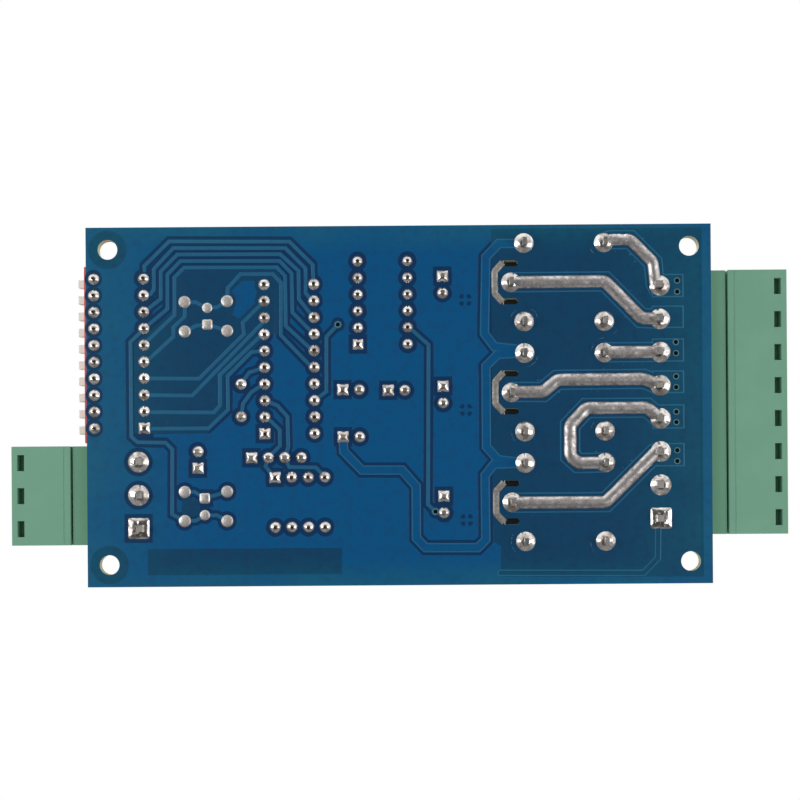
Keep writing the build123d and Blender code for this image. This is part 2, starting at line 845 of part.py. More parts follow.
tilt = radians(lever_tilt)
for n, y in enumerate(lever_ys):
    lever_plane = Plane(origin=(pivot_x, y, pivot_z), x_dir=(-cos(tilt), 0, sin(tilt)), z_dir=(0, 1, 0))
    with BuildPart() as lever:
        with BuildSketch(lever_plane):
            Circle(drum_diameter / 2)
            Rectangle(
                lever_pivot_depth + lever_proud, lever_thickness, align=(Align.MIN, Align.CENTER)
            )
        extrude(amount=lever_width / 2, both=True)
    lever.part.label = f"lever_{n + 1:02d}"
    export_step(lever.part, f"parts/lever_{n + 1:02d}.step")


def chip(x, y, length, along_y=True):
    """A moulded package body with its end notch."""
    size = (chip_width, length) if along_y else (length, chip_width)
    notch_at = (x, y - length / 2) if along_y else (x - length / 2, y)
    with BuildPart() as body:
        with BuildSketch(Plane.XY.offset(board_thickness + chip_standoff)):
            with Locations((x, y)):
                Rectangle(*size)
        extrude(amount=chip_height)
        chamfer(body.faces().sort_by(Axis.Z)[-1].edges(), chip_bevel)
        with BuildSketch(Plane.XY.offset(board_thickness + chip_standoff + chip_height)):
            with Locations(notch_at):
                RegularPolygon(chip_notch, power_joint_sides)
        extrude(amount=-chip_notch_depth, mode=Mode.SUBTRACT)
    return body


def chip_legs(places, centre, along_y=True):
    """Bent legs: up through the board, then in to the side of the package."""
    half = leg_thickness / 2
    shoulder_z = board_thickness + leg_shoulder
    with BuildPart() as legs:
        for x, y in places:
            at = x if along_y else y
            side = 1 if at > centre else -1
            plane = Plane.XZ.offset(-y) if along_y else Plane.YZ.offset(x)
            with BuildSketch(plane):
                with BuildLine():
                    Polyline(
                        (at + side * half, 0),
                        (at + side * half, shoulder_z + half),
                        (centre + side * chip_width / 2, shoulder_z + half),
                        (centre + side * chip_width / 2, shoulder_z - half),
                        (at - side * half, shoulder_z - half),
                        (at - side * half, 0),
                        close=True,
                    )
                make_face()
            extrude(amount=leg_width / 2, both=True)
    return legs


controller_length = (controller_pins - 1) * pin_pitch + 2 * chip_end_margin
transceiver_length = (transceiver_pins - 1) * pin_pitch + 2 * chip_end_margin
coupler_pitch = 2 * pin_pitch
packages = {
    "controller_body": chip(controller_x, controller_y, controller_length),
    "controller_legs": chip_legs(controller_legs, controller_x),
    "transceiver_body": chip(transceiver_x, transceiver_y, transceiver_length, along_y=False),
    "transceiver_legs": chip_legs(transceiver_legs, transceiver_y, along_y=False),
    "coupler_legs": chip_legs(coupler_legs, coupler_x),
}
for n in range(coupler_count):
    y = coupler_y + (n - (coupler_count - 1) / 2) * coupler_pitch
    packages[f"coupler_{n + 1}"] = chip(coupler_x, y, coupler_pitch - coupler_gap)
for label, piece in packages.items():
    piece.part.label = label
    export_step(piece.part, f"parts/{label}.step")

# Crystal in its low can
with BuildPart() as crystal_can:
    with BuildSketch(Plane.XY.offset(board_thickness + can_standoff)):
        with Locations((crystal_x, crystal_y)):
            SlotOverall(crystal_length, crystal_width, rotation=90)
    extrude(amount=crystal_height)
crystal_can.part.label = "crystal_can"
export_step(crystal_can.part, "parts/crystal_can.step")
crystal_leads = straight_leads(
    [(crystal_leads_at, wire_lead, wire_lead)], wire_drop, board_thickness + can_standoff
)
crystal_leads.part.label = "crystal_leads"
export_step(crystal_leads.part, "parts/crystal_leads.step")


def strip_header(centre, count, along_x):
    """The plastic strip of a pin header, with room for its pins."""
    length = count * pin_pitch
    steps = [(i - (count - 1) / 2) * pin_pitch for i in range(count)]
    with BuildPart() as plastic:
        with BuildSketch(Plane.XY.offset(board_thickness)):
            with Locations(centre):
                if along_x:
                    Rectangle(length, strip_plastic_width)
                else:
                    Rectangle(strip_plastic_width, length)
            with Locations(*[
                (centre[0] + s * along_x, centre[1] + s * (not along_x)) for s in steps
            ]):
                Rectangle(
                    square_pin + 2 * lead_clearance, square_pin + 2 * lead_clearance, mode=Mode.SUBTRACT
                )
        extrude(amount=strip_plastic_height)
    return plastic


program_header = strip_header((program_x, program_header_y), program_pins, True)
program_header.part.label = "program_header"
export_step(program_header.part, "parts/program_header.step")
program_header_pins = straight_leads(
    [(program_pin_places, square_pin, square_pin)], wire_drop, board_thickness + strip_pin_rise
)
program_header_pins.part.label = "program_header_pins"
export_step(program_header_pins.part, "parts/program_header_pins.step")
termination_header = strip_header((termination_x, termination_y), termination_pins_count, False)
termination_header.part.label = "termination_header"
export_step(termination_header.part, "parts/termination_header.step")
termination_pins = straight_leads(
    [(termination_pin_places, square_pin, square_pin)], wire_drop, board_thickness + strip_pin_rise
)
termination_pins.part.label = "termination_pins"
export_step(termination_pins.part, "parts/termination_pins.step")

# Electrolytic capacitors, standing between their two leads
for label, (first, second, diameter, height) in capacitors.items():
    with BuildPart() as can:
        with BuildSketch(Plane.XY.offset(board_thickness + can_standoff)):
            with Locations(((first[0] + second[0]) / 2, (first[1] + second[1]) / 2)):
                RegularPolygon(diameter / 2, can_sides)
        extrude(amount=height)
        chamfer(can.faces().sort_by(Axis.Z)[-1].edges(), can_bevel)
    can.part.label = label
    export_step(can.part, f"parts/{label}.step")
capacitor_leads = straight_leads(
    [(capacitor_leads_at, wire_lead, wire_lead)], wire_drop, board_thickness + can_standoff
)
capacitor_leads.part.label = "capacitor_leads"
export_step(capacitor_leads.part, "parts/capacitor_leads.step")


def leds(places):
    """Round light-emitting diodes: a flange, a straight wall and a domed end."""
    base = board_thickness + led_standoff
    wall_height = led_height - led_flange_height - led_dome_height
    with BuildPart() as lamps:
        with BuildSketch(Plane.XY.offset(base)):
            with Locations(*places):
                RegularPolygon(led_flange_diameter / 2, round_sides)
        extrude(amount=led_flange_height)
        with BuildSketch(Plane.XY.offset(base + led_flange_height)):
            with Locations(*places):
                RegularPolygon(led_diameter / 2, round_sides)
        extrude(amount=wall_height)
        with BuildSketch(Plane.XY.offset(base + led_flange_height + wall_height)):
            with Locations(*places):
                RegularPolygon(led_diameter / 2, round_sides)
        extrude(amount=led_dome_height, taper=led_dome_slope)
    return lamps


relay_leds = leds([(led_x, y) for y in led_ys])
relay_leds.part.label = "relay_leds"
export_step(relay_leds.part, "parts/relay_leds.step")
status_led = leds([status_led_at])
status_led.part.label = "status_led"
export_step(status_led.part, "parts/status_led.step")
led_leads = straight_leads(
    [(led_leads_at, wire_lead, wire_lead)], wire_drop, board_thickness + led_standoff
)
led_leads.part.label = "led_leads"
export_step(led_leads.part, "parts/led_leads.step")

# Surface-mounted parts on the component side
surface_parts = {
    "driver_transistors": (driver_size, [place(driver_from_left, y + driver_offset_y) for y in relay_ys]),
    "flyback_diodes": (diode_size, [place(diode_from_left, y + diode_offset_y) for y in relay_ys]),
    "chip_resistors": (
        resistor_size,
        [place(resistor_from_left, y + step) for y in relay_ys for step in resistor_offsets],
    ),
    "regulator": (regulator_size, [place(regulator_from_left, regulator_y)]),
    "chip_capacitors": (decoupler_size, [place(*at) for at in decoupler_places]),
}
for label, (size, places) in surface_parts.items():
    with BuildPart() as bodies:
        with BuildSketch(Plane.XY.offset(board_thickness)):
            with Locations(*places):
                Rectangle(size[0], size[1])
        extrude(amount=size[2])
    bodies.part.label = label
    export_step(bodies.part, f"parts/{label}.step")
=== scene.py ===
import math
import random

import bmesh
import bpy
from mathutils import Matrix, Vector, geometry, noise


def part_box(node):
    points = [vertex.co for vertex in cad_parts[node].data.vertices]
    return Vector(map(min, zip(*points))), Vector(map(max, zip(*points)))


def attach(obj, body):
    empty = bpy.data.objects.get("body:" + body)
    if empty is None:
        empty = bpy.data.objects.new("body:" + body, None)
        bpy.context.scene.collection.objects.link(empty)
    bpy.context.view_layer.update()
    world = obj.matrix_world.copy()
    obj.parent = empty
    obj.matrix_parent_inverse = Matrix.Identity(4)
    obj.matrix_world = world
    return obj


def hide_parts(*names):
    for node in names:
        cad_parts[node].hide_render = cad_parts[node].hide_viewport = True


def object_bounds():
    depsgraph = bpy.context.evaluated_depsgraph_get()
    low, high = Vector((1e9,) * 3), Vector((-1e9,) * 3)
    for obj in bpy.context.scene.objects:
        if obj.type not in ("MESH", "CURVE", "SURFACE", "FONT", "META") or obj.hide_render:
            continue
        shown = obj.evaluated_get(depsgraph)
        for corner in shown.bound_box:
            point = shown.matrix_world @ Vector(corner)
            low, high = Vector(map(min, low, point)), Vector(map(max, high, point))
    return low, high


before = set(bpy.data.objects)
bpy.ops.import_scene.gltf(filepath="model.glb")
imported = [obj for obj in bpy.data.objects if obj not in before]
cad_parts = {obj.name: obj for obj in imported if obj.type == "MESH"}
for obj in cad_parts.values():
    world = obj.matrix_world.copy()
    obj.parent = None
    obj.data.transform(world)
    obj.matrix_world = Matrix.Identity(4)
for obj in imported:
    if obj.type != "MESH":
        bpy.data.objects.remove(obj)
cad_low, cad_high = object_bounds()

MM = 0.001


# ---------------------------------------------------------------- places, in millimetres

BOARD_LENGTH, BOARD_WIDTH, BOARD_THICKNESS = 95.6, 55.0, 1.6
TOP = BOARD_THICKNESS
PITCH = 2.54
TERMINAL_PITCH = 5.08
RELAY_YS = (-18.70, -1.88, 14.94)
RELAY_COM_X, RELAY_COIL_X, RELAY_CONTACT_X = 17.2, 19.2, 31.45
RELAY_SPREAD = 6.0
INPUT_PIN_X, INPUT_PIN_YS = -39.95, (8.38, 13.46, 18.54)
OUTPUT_PIN_X = 39.95
OUTPUT_PIN_YS = [-0.28 + (n - 3.5) * TERMINAL_PITCH for n in range(8)]
CORNER_HOLES = [(x, y) for x in (-44.45, 44.45) for y in (-24.1, 24.1)]


def column(x, first_y, count):
    return [(x, first_y + n * PITCH) for n in range(count)]


def row(first_x, y, count):
    return [(first_x + n * PITCH, y) for n in range(count)]


def rectangle(x0, y0, x1, y1):
    return [(x0, y0), (x1, y0), (x1, y1), (x0, y1)]


SWITCH_LEFT = column(-46.63, -19.66, 10)
SWITCH_RIGHT = column(-39.01, -19.66, 10)
CONTROLLER_LEFT = column(-20.58, -18.66, 10)
CONTROLLER_RIGHT = column(-12.96, -18.66, 10)
COUPLER_LEFT = column(-6.24, -22.1, 6)
COUPLER_RIGHT = column(1.38, -22.1, 6)
PROGRAM_PINS = row(-22.64, 7.86, 4)
TRANSCEIVER_TOP = row(-19.08, 10.89, 4)
TRANSCEIVER_BOTTOM = row(-19.08, 18.51, 4)
CRYSTAL_LEADS = [(-24.2, -3.45), (-24.2, 1.55)]
TERMINATION_PINS = [(-30.85, 6.85), (-30.85, 9.39)]
SUPPLY_CAPACITOR = [(-8.62, 4.75), (-6.08, 4.75)]
FILTER_CAPACITOR = [(-1.67, -2.32), (0.87, -2.32)]
STATUS_LAMP = [(-8.62, -2.47), (-6.08, -2.47)]
RELAY_LAMPS = [(6.74, y + 0.26 + s * PITCH / 2) for y in RELAY_YS for s in (-1, 1)]

# Each kind of lead: the radius of its joint, the lead's two widths, and how far its cut end stands out
LEAD_KINDS = {
    "flat leg": (0.88, 0.5, 0.34, 0.14), "coupler leg": (0.82, 0.5, 0.34, 0.14), "wire": (0.88, 0.56, 0.56, 0.34),
    "square pin": (0.88, 0.6, 0.6, 0.34), "relay pin": (1.5, 0.5, 0.8, 0.4), "header pin": (1.6, 0.95, 0.95, 0.42),
}
SMALL_JOINTS = (
    [(p, "flat leg") for p in SWITCH_LEFT + SWITCH_RIGHT + CONTROLLER_LEFT + CONTROLLER_RIGHT]
    + [(p, "coupler leg") for p in COUPLER_LEFT + COUPLER_RIGHT]
    + [(p, "flat leg") for p in TRANSCEIVER_TOP + TRANSCEIVER_BOTTOM]
    + [(p, "wire") for p in CRYSTAL_LEADS + SUPPLY_CAPACITOR + FILTER_CAPACITOR + STATUS_LAMP + RELAY_LAMPS]
    + [(p, "square pin") for p in PROGRAM_PINS + TERMINATION_PINS]
)
SQUARE_PADS = [
    SWITCH_RIGHT[-1], CONTROLLER_LEFT[-1], COUPLER_LEFT[-1], PROGRAM_PINS[0], TRANSCEIVER_TOP[0],
    TERMINATION_PINS[1], SUPPLY_CAPACITOR[0], FILTER_CAPACITOR[0], STATUS_LAMP[0],
    RELAY_LAMPS[0], RELAY_LAMPS[2], RELAY_LAMPS[4],
    (INPUT_PIN_X, INPUT_PIN_YS[-1]), (OUTPUT_PIN_X, OUTPUT_PIN_YS[-1]),
]
# Ground joints run into the pour; the narrower ring of gap mask drawn round them is painted shadow beside each joint.
GROUND_JOINTS = SWITCH_LEFT
LARGE_JOINTS = (
    [((RELAY_COM_X, y), "relay pin") for y in RELAY_YS]
    + [((RELAY_COIL_X, y + s * RELAY_SPREAD), "relay pin") for y in RELAY_YS for s in (-1, 1)]
    + [((RELAY_CONTACT_X, y + s * RELAY_SPREAD), "relay pin") for y in RELAY_YS for s in (-1, 1)]
    + [((INPUT_PIN_X, y), "header pin") for y in INPUT_PIN_YS]
    + [((OUTPUT_PIN_X, y), "header pin") for y in OUTPUT_PIN_YS]
)
ROUND_FILLS = [
    (-32.73, -16.04, 0.95), (-32.72, -11.53, 0.95), (-26.23, -16.12, 0.95), (-26.23, -11.59, 0.95),
    (-29.26, -15.11, 0.82), (-32.89, 13.0, 0.95), (-32.91, 17.45, 0.95), (-26.4, 12.99, 0.95),
    (-26.42, 17.49, 0.95), (-29.83, 16.58, 0.82),
]
SQUARE_FILLS = [(-29.26, -12.57, 0.82), (-29.83, 13.99, 0.82)]

# Routes of the copper on the solder side; the tinned ones come with their widths
LANES = [
    [(-38.83, -20.9), (-38.82, -21.6), (-35, -25.33), (-16.61, -25.16), (-13.08, -21.62), (-13.01, -19.2)],
    [(-38.9, -17.0), (-37.9, -17.3), (-37.4, -18.0), (-37.4, -21.1), (-34.4, -24.3), (-17.24, -24.19),
     (-14.17, -21.01), (-14.2, -17.3), (-13.3, -16.2)],
    [(-38.6, -14.8), (-36.35, -16.54), (-36.32, -20.76), (-33.77, -23.32), (-18.03, -23.25),
     (-15.26, -20.71), (-15.23, -16.38), (-13.3, -13.9)],
    [(-38.6, -12.3), (-35.35, -15), (-35.33, -20.24), (-33.3, -22.3), (-18.14, -22.22), (-16.34, -20.31),
     (-16.23, -14.33), (-13.3, -11.3)],
    [(-38.8, -9.8), (-34.27, -14.05), (-34.24, -19.82), (-32.75, -21.31), (-18.56, -21.25), (-17.3, -19.9),
     (-17.27, -12.28), (-13.3, -8.6)],
    [(-26.2, -16.1), (-26.13, -18.11), (-24.12, -20.26), (-19.18, -20.22), (-17.96, -18.88),
     (-18.01, -10.85), (-13.5, -6.1)],
    [(-38.6, -7.0), (-34.45, -10.76), (-34.44, -12.2), (-32.69, -13.83), (-32.7, -16.0)],
    [(-38.9, -4.4), (-30.58, -4.31), (-23.66, -11.09), (-23.85, -12.84), (-20.7, -15.9)],
    [(-38.9, -1.85), (-31.62, -1.73), (-20.7, -12.9)],
    [(-20.7, -11.2), (-27.39, -4.85), (-27.4, -0.2), (-28.35, 0.88), (-39.0, 0.75)],
    [(-20.7, -8.5), (-22.54, -8.31), (-26.22, -4.63), (-26.19, 0.48), (-29.18, 3.3), (-39.0, 3.3)],
    [(-39.2, -11.7), (-41.03, -9.98), (-40.99, 4.49), (-40.07, 5.35), (-35.76, 5.45), (-34.74, 6.48),
     (-34.83, 16.41), (-33.0, 17.4)],
    [(1.5, -12.0), (4.55, -9.25), (4.3, 15.2), (5.43, 16.26)],
    [(-9.3, -12.43), (-11.06, -10.59), (-11.12, -2.2), (-12.9, -0.9)],
    [(-24.2, -3.45), (-22.9, -5.2), (-20.7, -5.9)],
    [(-24.2, 1.55), (-23.9, -0.4), (-22.6, -2.2), (-20.7, -3.4)],
    [(-20.5, -0.9), (-18.6, -0.1), (-17.1, 1.6), (-17.0, 6.2), (-17.5, 7.8)],
    [(-20.5, 1.7), (-19.6, 2.3), (-18.3, 3.6), (-18.3, 6.1), (-19.9, 7.6)],
    [(-17.6, 7.9), (-16.9, 9.3), (-12.8, 9.4), (-11.5, 10.8)],
    [(-20.1, 7.9), (-20.5, 9.2), (-19.2, 10.8)],
    [(-32.7, -16.0), (-31.0, -16.0), (-29.3, -15.1), (-27.8, -15.2), (-26.2, -16.1)],
    [(-32.7, -11.5), (-31.0, -12.4), (-29.3, -12.6), (-26.2, -11.6)],
    [(-32.9, 13.0), (-31.4, 13.0), (-29.8, 14.0), (-26.4, 13.0)],
    [(-32.9, 17.45), (-31.2, 17.4), (-29.8, 16.6), (-28.0, 16.6), (-26.4, 17.4)],
]
SUPPLY_ROUTES = [
    [(-8.62, 5.2), (-8.52, 6.96), (-5.78, 9.85), (0.37, 9.89), (2.5, 12.36), (2.49, 20.3), (3.9, 21.77),
     (11.9, 21.83), (13.1, 20.6), (13.05, 10.79), (14.4, 9.1), (19.2, 8.95)],
    [(19.2, -24.65), (15.4, -24.67), (13.4, -22.6), (13.1, -10.9), (14.6, -8.9), (17.89, -8.5)],
    [(19.2, -7.9), (15.07, -7.7), (13.3, -5.9), (13.3, 6.4), (15.03, 8.4), (19.2, 8.9)],
]
RIM_ROUTE = [(39.5, 17.5), (39.4, 23.6), (37.2, 25.85), (15.3, 25.7)]
TINNED_ROUTES = [
    ([(31.45, -24.72), (32.4, -25.1), (35.5, -25.1), (38.95, -21.6), (39.3, -18.06)], 1.85),
    ([(17.2, -18.7), (31.6, -18.75), (37.1, -13.1), (39.85, -12.98)], 2.0),
    ([(31.45, -7.9), (39.85, -7.9)], 2.0),
    ([(17.2, -1.95), (22, -1.9), (24.2, -3.75), (37.5, -3.8), (39.6, -2.9)], 2.0),
    ([(39.85, 2.26), (37.9, 0.6), (28.6, 0.6), (26.1, 3.2), (26.1, 7.9), (27.3, 9), (31.45, 8.95)], 2.0),
    ([(17.2, 15), (31.5, 15), (39.2, 7.4)], 2.0),
]
GUARD_ROUTES = [
    [(15.95, y - 3.05), (14.72, y - 1.7), (14.72, y + 1.7), (15.95, y + 3.05)] for y in RELAY_YS
]
SLOTS = [(16.0, 18.3, y + s * 2.9) for y in RELAY_YS for s in (-1, 1)]
SLOT_WIDTH = 0.9

# Parts of the solder face where no copper lies under the mask
BARE_ZONES = [
    [(-40.5, -9.8), (-38.3, -11.4), (-34.0, -15.3), (-34.0, -19.7), (-32.6, -21.0), (-18.7, -20.9),
     (-17.8, -19.6), (-17.8, -11.0), (-19.6, -11.0), (-21.9, -9.0), (-26.7, -4.4), (-26.7, 0.7),
     (-29.3, 4.0), (-40.5, 4.0)],
    [(-33.4, 13.6), (-30.6, 14.2), (-30.6, 16.6), (-33.4, 17.0)],
    [(-38.6, 21.7), (-8.9, 21.7), (-8.9, 25.7), (-38.6, 25.7)],
    [(14.2, -26.9), (46.4, -26.9), (46.4, 26.5), (15.4, 26.3), (15.4, 21.6), (14.2, 20.9)],
]
COPPER_ISLAND = [
    (-25.4, -17.8), (-23.8, -19.2), (-22.1, -19.2), (-21.6, -17.6), (-21.9, -15.6), (-24.3, -13.4), (-25.4, -14.0),
    (-24.9, -16.0),
]
TERMINAL_COPPER = [
    rectangle(38.7, y0, 43.6, y1)
    for y0, y1 in ((-19.84, -16.26), (-14.99, -11.55), (-9.98, -6.4), (-5.08, -1.58), (0.11, 3.83), (6.02, 9.61))
]
TERMINAL_VIAS = [
    (42.6, -18.8), (42.6, -17.1), (42.35, -9.4), (42.35, -7.7), (42.35, -4.15), (42.35, -2.5), (42.35, 1.25),
    (42.35, 2.85), (42.45, 7.15), (42.45, 8.8),
]
TRACK_VIAS = [(-9.3, -12.43), (5.43, 16.26)]
THERMAL_MARKS = [(10.2, y + 2.65) for y in RELAY_YS]
HALO_HOLES, HALO_RADIUS = CORNER_HOLES[:2], 2.95
BOARD_OUTLINE = rectangle(*(side * (length / 2 - 0.01) for side in (-1, 1) for length in (BOARD_LENGTH, BOARD_WIDTH)))

# Tracks and print of the component side
TOP_TRACKS = [
    [(-12.96, -18.66), (-10.4, -20.9), (-6.24, -22.1)],
    [(-12.96, -16.1), (-10.6, -17.2), (-6.24, -17.0)],
    [(-12.96, -13.6), (-10.6, -13.2), (-6.24, -11.94)],
    [(1.38, -22.1), (4.6, -24.4), (9.2, -24.4), (11.2, -22.6), (11.2, -17.6)],
    [(1.38, -17.0), (3.2, -13.4), (8.4, -9.2), (9.0, -1.2)],
    [(1.38, -11.9), (4.0, -8.6), (4.4, 4.0), (8.6, 9.2), (9.2, 16.0)],
    [(-12.96, -8.5), (-10.8, -5.6), (-10.8, 0.4), (-8.62, -2.47)],
    [(-12.96, 1.66), (-11.4, 3.4), (-11.4, 8.6), (-11.46, 10.89)],
    [(-20.58, -16.1), (-22.6, -17.6), (-27.6, -18.8), (-35.6, -18.8), (-39.01, -17.12)],
    [(-20.58, -8.5), (-23.4, -8.9), (-29.6, -7.6), (-36.0, -7.6), (-39.01, -9.5)],
    [(-39.95, 8.38), (-36.4, 8.0), (-33.0, 5.2), (-30.85, 6.85)],
    [(-39.95, 13.46), (-35.6, 12.6), (-28.0, 12.2), (-19.08, 10.89)],
    [(-6.08, 4.75), (-3.4, 7.4), (-3.4, 12.6), (-4.6, 13.6)],
    [(6.74, -17.2), (8.6, -15.2), (9.4, -15.2)],
    [(6.74, -0.35), (8.6, 1.6), (9.4, 1.6)],
    [(6.74, 16.47), (8.6, 18.4), (9.4, 18.4)],
]
LEGEND_MARGINS = {
    "relay_1_case": 0.3, "relay_2_case": 0.3, "relay_3_case": 0.3, "switch_case": 0.25, "controller_body": 0.25,
    "transceiver_body": 0.25, "coupler_1": 0.12, "coupler_2": 0.12, "coupler_3": 0.12, "program_header": 0.25,
    "termination_header": 0.25, "regulator": 0.5, "input_header": 0.25, "output_header": 0.25, "crystal_can": 0.35,
}
FIRST_PIN_DOTS = [(-22.6, 5.9), (-20.9, 8.2), (-8.0, -8.2)]
PLUS_MARKS = [(-9.9, 8.6), (-3.4, -4.6)]


# ---------------------------------------------------------------- colours and node groups

def linear(red, green, blue):
    """A colour read as 0 to 255 in the picture, as the linear colour that a shader takes."""
    def one(v):
        v /= 255
        return v / 12.92 if v <= 0.04045 else ((v + 0.055) / 1.055) ** 2.4
    return (one(red), one(green), one(blue), 1.0)


def feed(tree, socket, value):
    """Sets a socket to a fixed value, or wires another node's output to it."""
    if isinstance(value, (int, float, tuple)):
        socket.default_value = value
    else:
        tree.links.new(value, socket)


def make_node(tree, kind, inputs=None, **settings):
    """A new shader node with its settings made and its inputs fed, each input by its label or number."""
    made = tree.nodes.new("ShaderNode" + kind)
    for label, value in settings.items():
        setattr(made, label, value)
    for label, value in (inputs or {}).items():
        feed(tree, made.inputs[label], value)
    return made


def ramp(tree, source, ranges):
    """Carries a value smoothly from the first range over to the second."""
    (from_low, from_high), (to_low, to_high) = ranges
    values = {"Value": source, "From Min": from_low, "From Max": from_high, "To Min": to_low, "To Max": to_high}
    return make_node(tree, "MapRange", values, interpolation_type="SMOOTHSTEP").outputs["Result"]


def object_place(tree):
    return make_node(tree, "TexCoord").outputs["Object"]


def noise_at(tree, scale, detail, roughness, place):
    values = {"Vector": place, "Scale": scale, "Detail": detail, "Roughness": roughness}
    return make_node(tree, "TexNoise", values).outputs["Fac"]


def mixed(tree, factor, first, second):
    return make_node(tree, "Mix", {0: factor, 6: first, 7: second}, data_type="RGBA").outputs[2]


def calc(tree, kind, first, second=0.0):
    return make_node(tree, "Math", {0: first, 1: second}, operation=kind).outputs[0]


def times(tree, first, second):
    return calc(tree, "MULTIPLY", first, second)


def new_group(name, inputs):
    """A shader node group with named inputs and three outputs, and the sockets of its two ends."""
    group = bpy.data.node_groups.new(name, "ShaderNodeTree")
    for label, value in inputs.items():
        kind = "NodeSocketColor" if isinstance(value, tuple) else "NodeSocketFloat"
        group.interface.new_socket(name=label, in_out="INPUT", socket_type=kind).default_value = value
    for label, kind in (("Colour", "Color"), ("Roughness", "Float"), ("Height", "Float")):
        group.interface.new_socket(name=label, in_out="OUTPUT", socket_type="NodeSocket" + kind)
    return group, group.nodes.new("NodeGroupInput").outputs, group.nodes.new("NodeGroupOutput").inputs


def make_mask_group():
    """Solder mask: its colour turns towards teal near the board's edges and varies a little all over."""
    tree, given, made = new_group("Solder Mask", {
        "Colour": (0.01, 0.08, 0.2, 1), "Edge Colour": (0.01, 0.1, 0.16, 1), "Cloud": 0.25})
    place = object_place(tree)
    parts = make_node(tree, "SeparateXYZ", {0: place}).outputs
    along = ramp(tree, calc(tree, "ABSOLUTE", parts["X"]), [(0.030, 0.049), (0.0, 1.0)])
    across = ramp(tree, calc(tree, "ABSOLUTE", parts["Y"]), [(0.0225, 0.0275), (0.0, 1.0)])
    cloud = ramp(tree, noise_at(tree, 90, 3, 0.5, place), [(0.2, 0.7), (0.35, 1.0)])
    rim = times(tree, calc(tree, "MAXIMUM", along, across), cloud)
    tinted = mixed(tree, rim, given["Colour"], given["Edge Colour"])
    darker = mixed(tree, 0.75, tinted, (0.004, 0.02, 0.06, 1))
    fine = noise_at(tree, 700, 5, 0.6, place)
    amount = times(tree, ramp(tree, fine, [(0.42, 0.7), (0.0, 1.0)]), given["Cloud"])
    weave = make_node(tree, "TexWave", {"Vector": place, "Scale": 600, "Distortion": 1.2}).outputs["Fac"]
    feed(tree, made["Colour"], mixed(tree, amount, tinted, darker))
    feed(tree, made["Roughness"], ramp(tree, fine, [(0.3, 0.7), (0.30, 0.42)]))
    feed(tree, made["Height"], calc(tree, "ADD", fine, times(tree, weave, 0.25)))
    return tree


def make_mottle_group():
    """Cooled solder and plated metal: grains, dull patches and small pits."""
    tree, given, made = new_group("Metal Mottle", {
        "Light": (0.8, 0.8, 0.8, 1), "Dark": (0.4, 0.4, 0.4, 1), "Grain Scale": 1500.0, "Smooth": 0.2,
        "Rough": 0.5, "Pits": 0.3})
    place = object_place(tree)
    grain = noise_at(tree, given["Grain Scale"], 5, 0.62, place)
    patch = noise_at(tree, 320, 3, 0.5, place)
    cells = make_node(tree, "TexVoronoi", {"Vector": place, "Scale": times(tree, given["Grain Scale"], 1.4)})
    pit = times(tree, ramp(tree, cells.outputs["Distance"], [(0.05, 0.28), (1.0, 0.0)]),
                ramp(tree, patch, [(0.45, 0.62), (0.0, 1.0)]))
    pit = times(tree, pit, given["Pits"])
    dull = ramp(tree, calc(tree, "ADD", times(tree, grain, 0.6), times(tree, patch, 0.4)), [(0.38, 0.64), (0.0, 1.0)])
    shade = mixed(tree, dull, given["Light"], given["Dark"])
    spread = calc(tree, "SUBTRACT", given["Rough"], given["Smooth"])
    feed(tree, made["Colour"], mixed(tree, pit, shade, (0.03, 0.02, 0.02, 1)))
    feed(tree, made["Roughness"], calc(tree, "ADD", given["Smooth"], times(tree, dull, spread)))
    feed(tree, made["Height"], calc(tree, "SUBTRACT", grain, pit))
    return tree


def make_moulding_group():
    """Moulded plastic: spark-eroded grain, faint flow clouds and pale rubbed spots."""
    tree, given, made = new_group("Moulded Plastic", {
        "Colour": (0.1, 0.1, 0.1, 1), "Rubbed Colour": (0.2, 0.2, 0.2, 1), "Grain Scale": 5000.0, "Rubbing": 0.2,
        "Gloss": 0.4})
    place = object_place(tree)
    grain = noise_at(tree, given["Grain Scale"], 3, 0.5, place)
    flow = noise_at(tree, 160, 4, 0.6, place)
    rubbed = times(tree, ramp(tree, flow, [(0.45, 0.75), (0.0, 1.0)]), given["Rubbing"])
    feed(tree, made["Colour"], mixed(tree, rubbed, given["Colour"], given["Rubbed Colour"]))
    feed(tree, made["Roughness"], calc(tree, "ADD", given["Gloss"], times(tree, grain, 0.14)))
    feed(tree, made["Height"], grain)
    return tree


MASK_GROUP, MOTTLE_GROUP, MOULDING_GROUP = make_mask_group(), make_mottle_group(), make_moulding_group()


def finish_from(name, group, values, bump, bump_distance, shader):
    """A material whose colour, roughness and bump come from one of the groups."""
    material = bpy.data.materials.new(name)
    material.use_nodes = True
    tree = material.node_tree
    made = make_node(tree, "Group", values, node_tree=group).outputs
    relief = make_node(tree, "Bump", {"Strength": bump, "Distance": bump_distance, "Height": made["Height"]})
    wires = {"Base Color": made["Colour"], "Roughness": made["Roughness"], "Normal": relief.outputs["Normal"]}
    for label, value in {**wires, **shader}.items():
        feed(tree, tree.nodes["Principled BSDF"].inputs[label], value)
    return material


def mask_finish(name, colour, edge, cloud):
    values = {"Colour": linear(*colour), "Edge Colour": linear(*edge), "Cloud": cloud}
    return finish_from(name, MASK_GROUP, values, 0.12, 0.00002, {"Specular IOR Level": 0.12})


def metal_finish(name, light, dark, scale, smooth, rough, pits=0.0, bump=0.2):
    values = {"Light": linear(*light), "Dark": linear(*dark), "Grain Scale": scale, "Smooth": smooth, "Rough": rough,
              "Pits": pits}
    return finish_from(name, MOTTLE_GROUP, values, bump, 0.00003, {"Metallic": 1.0})


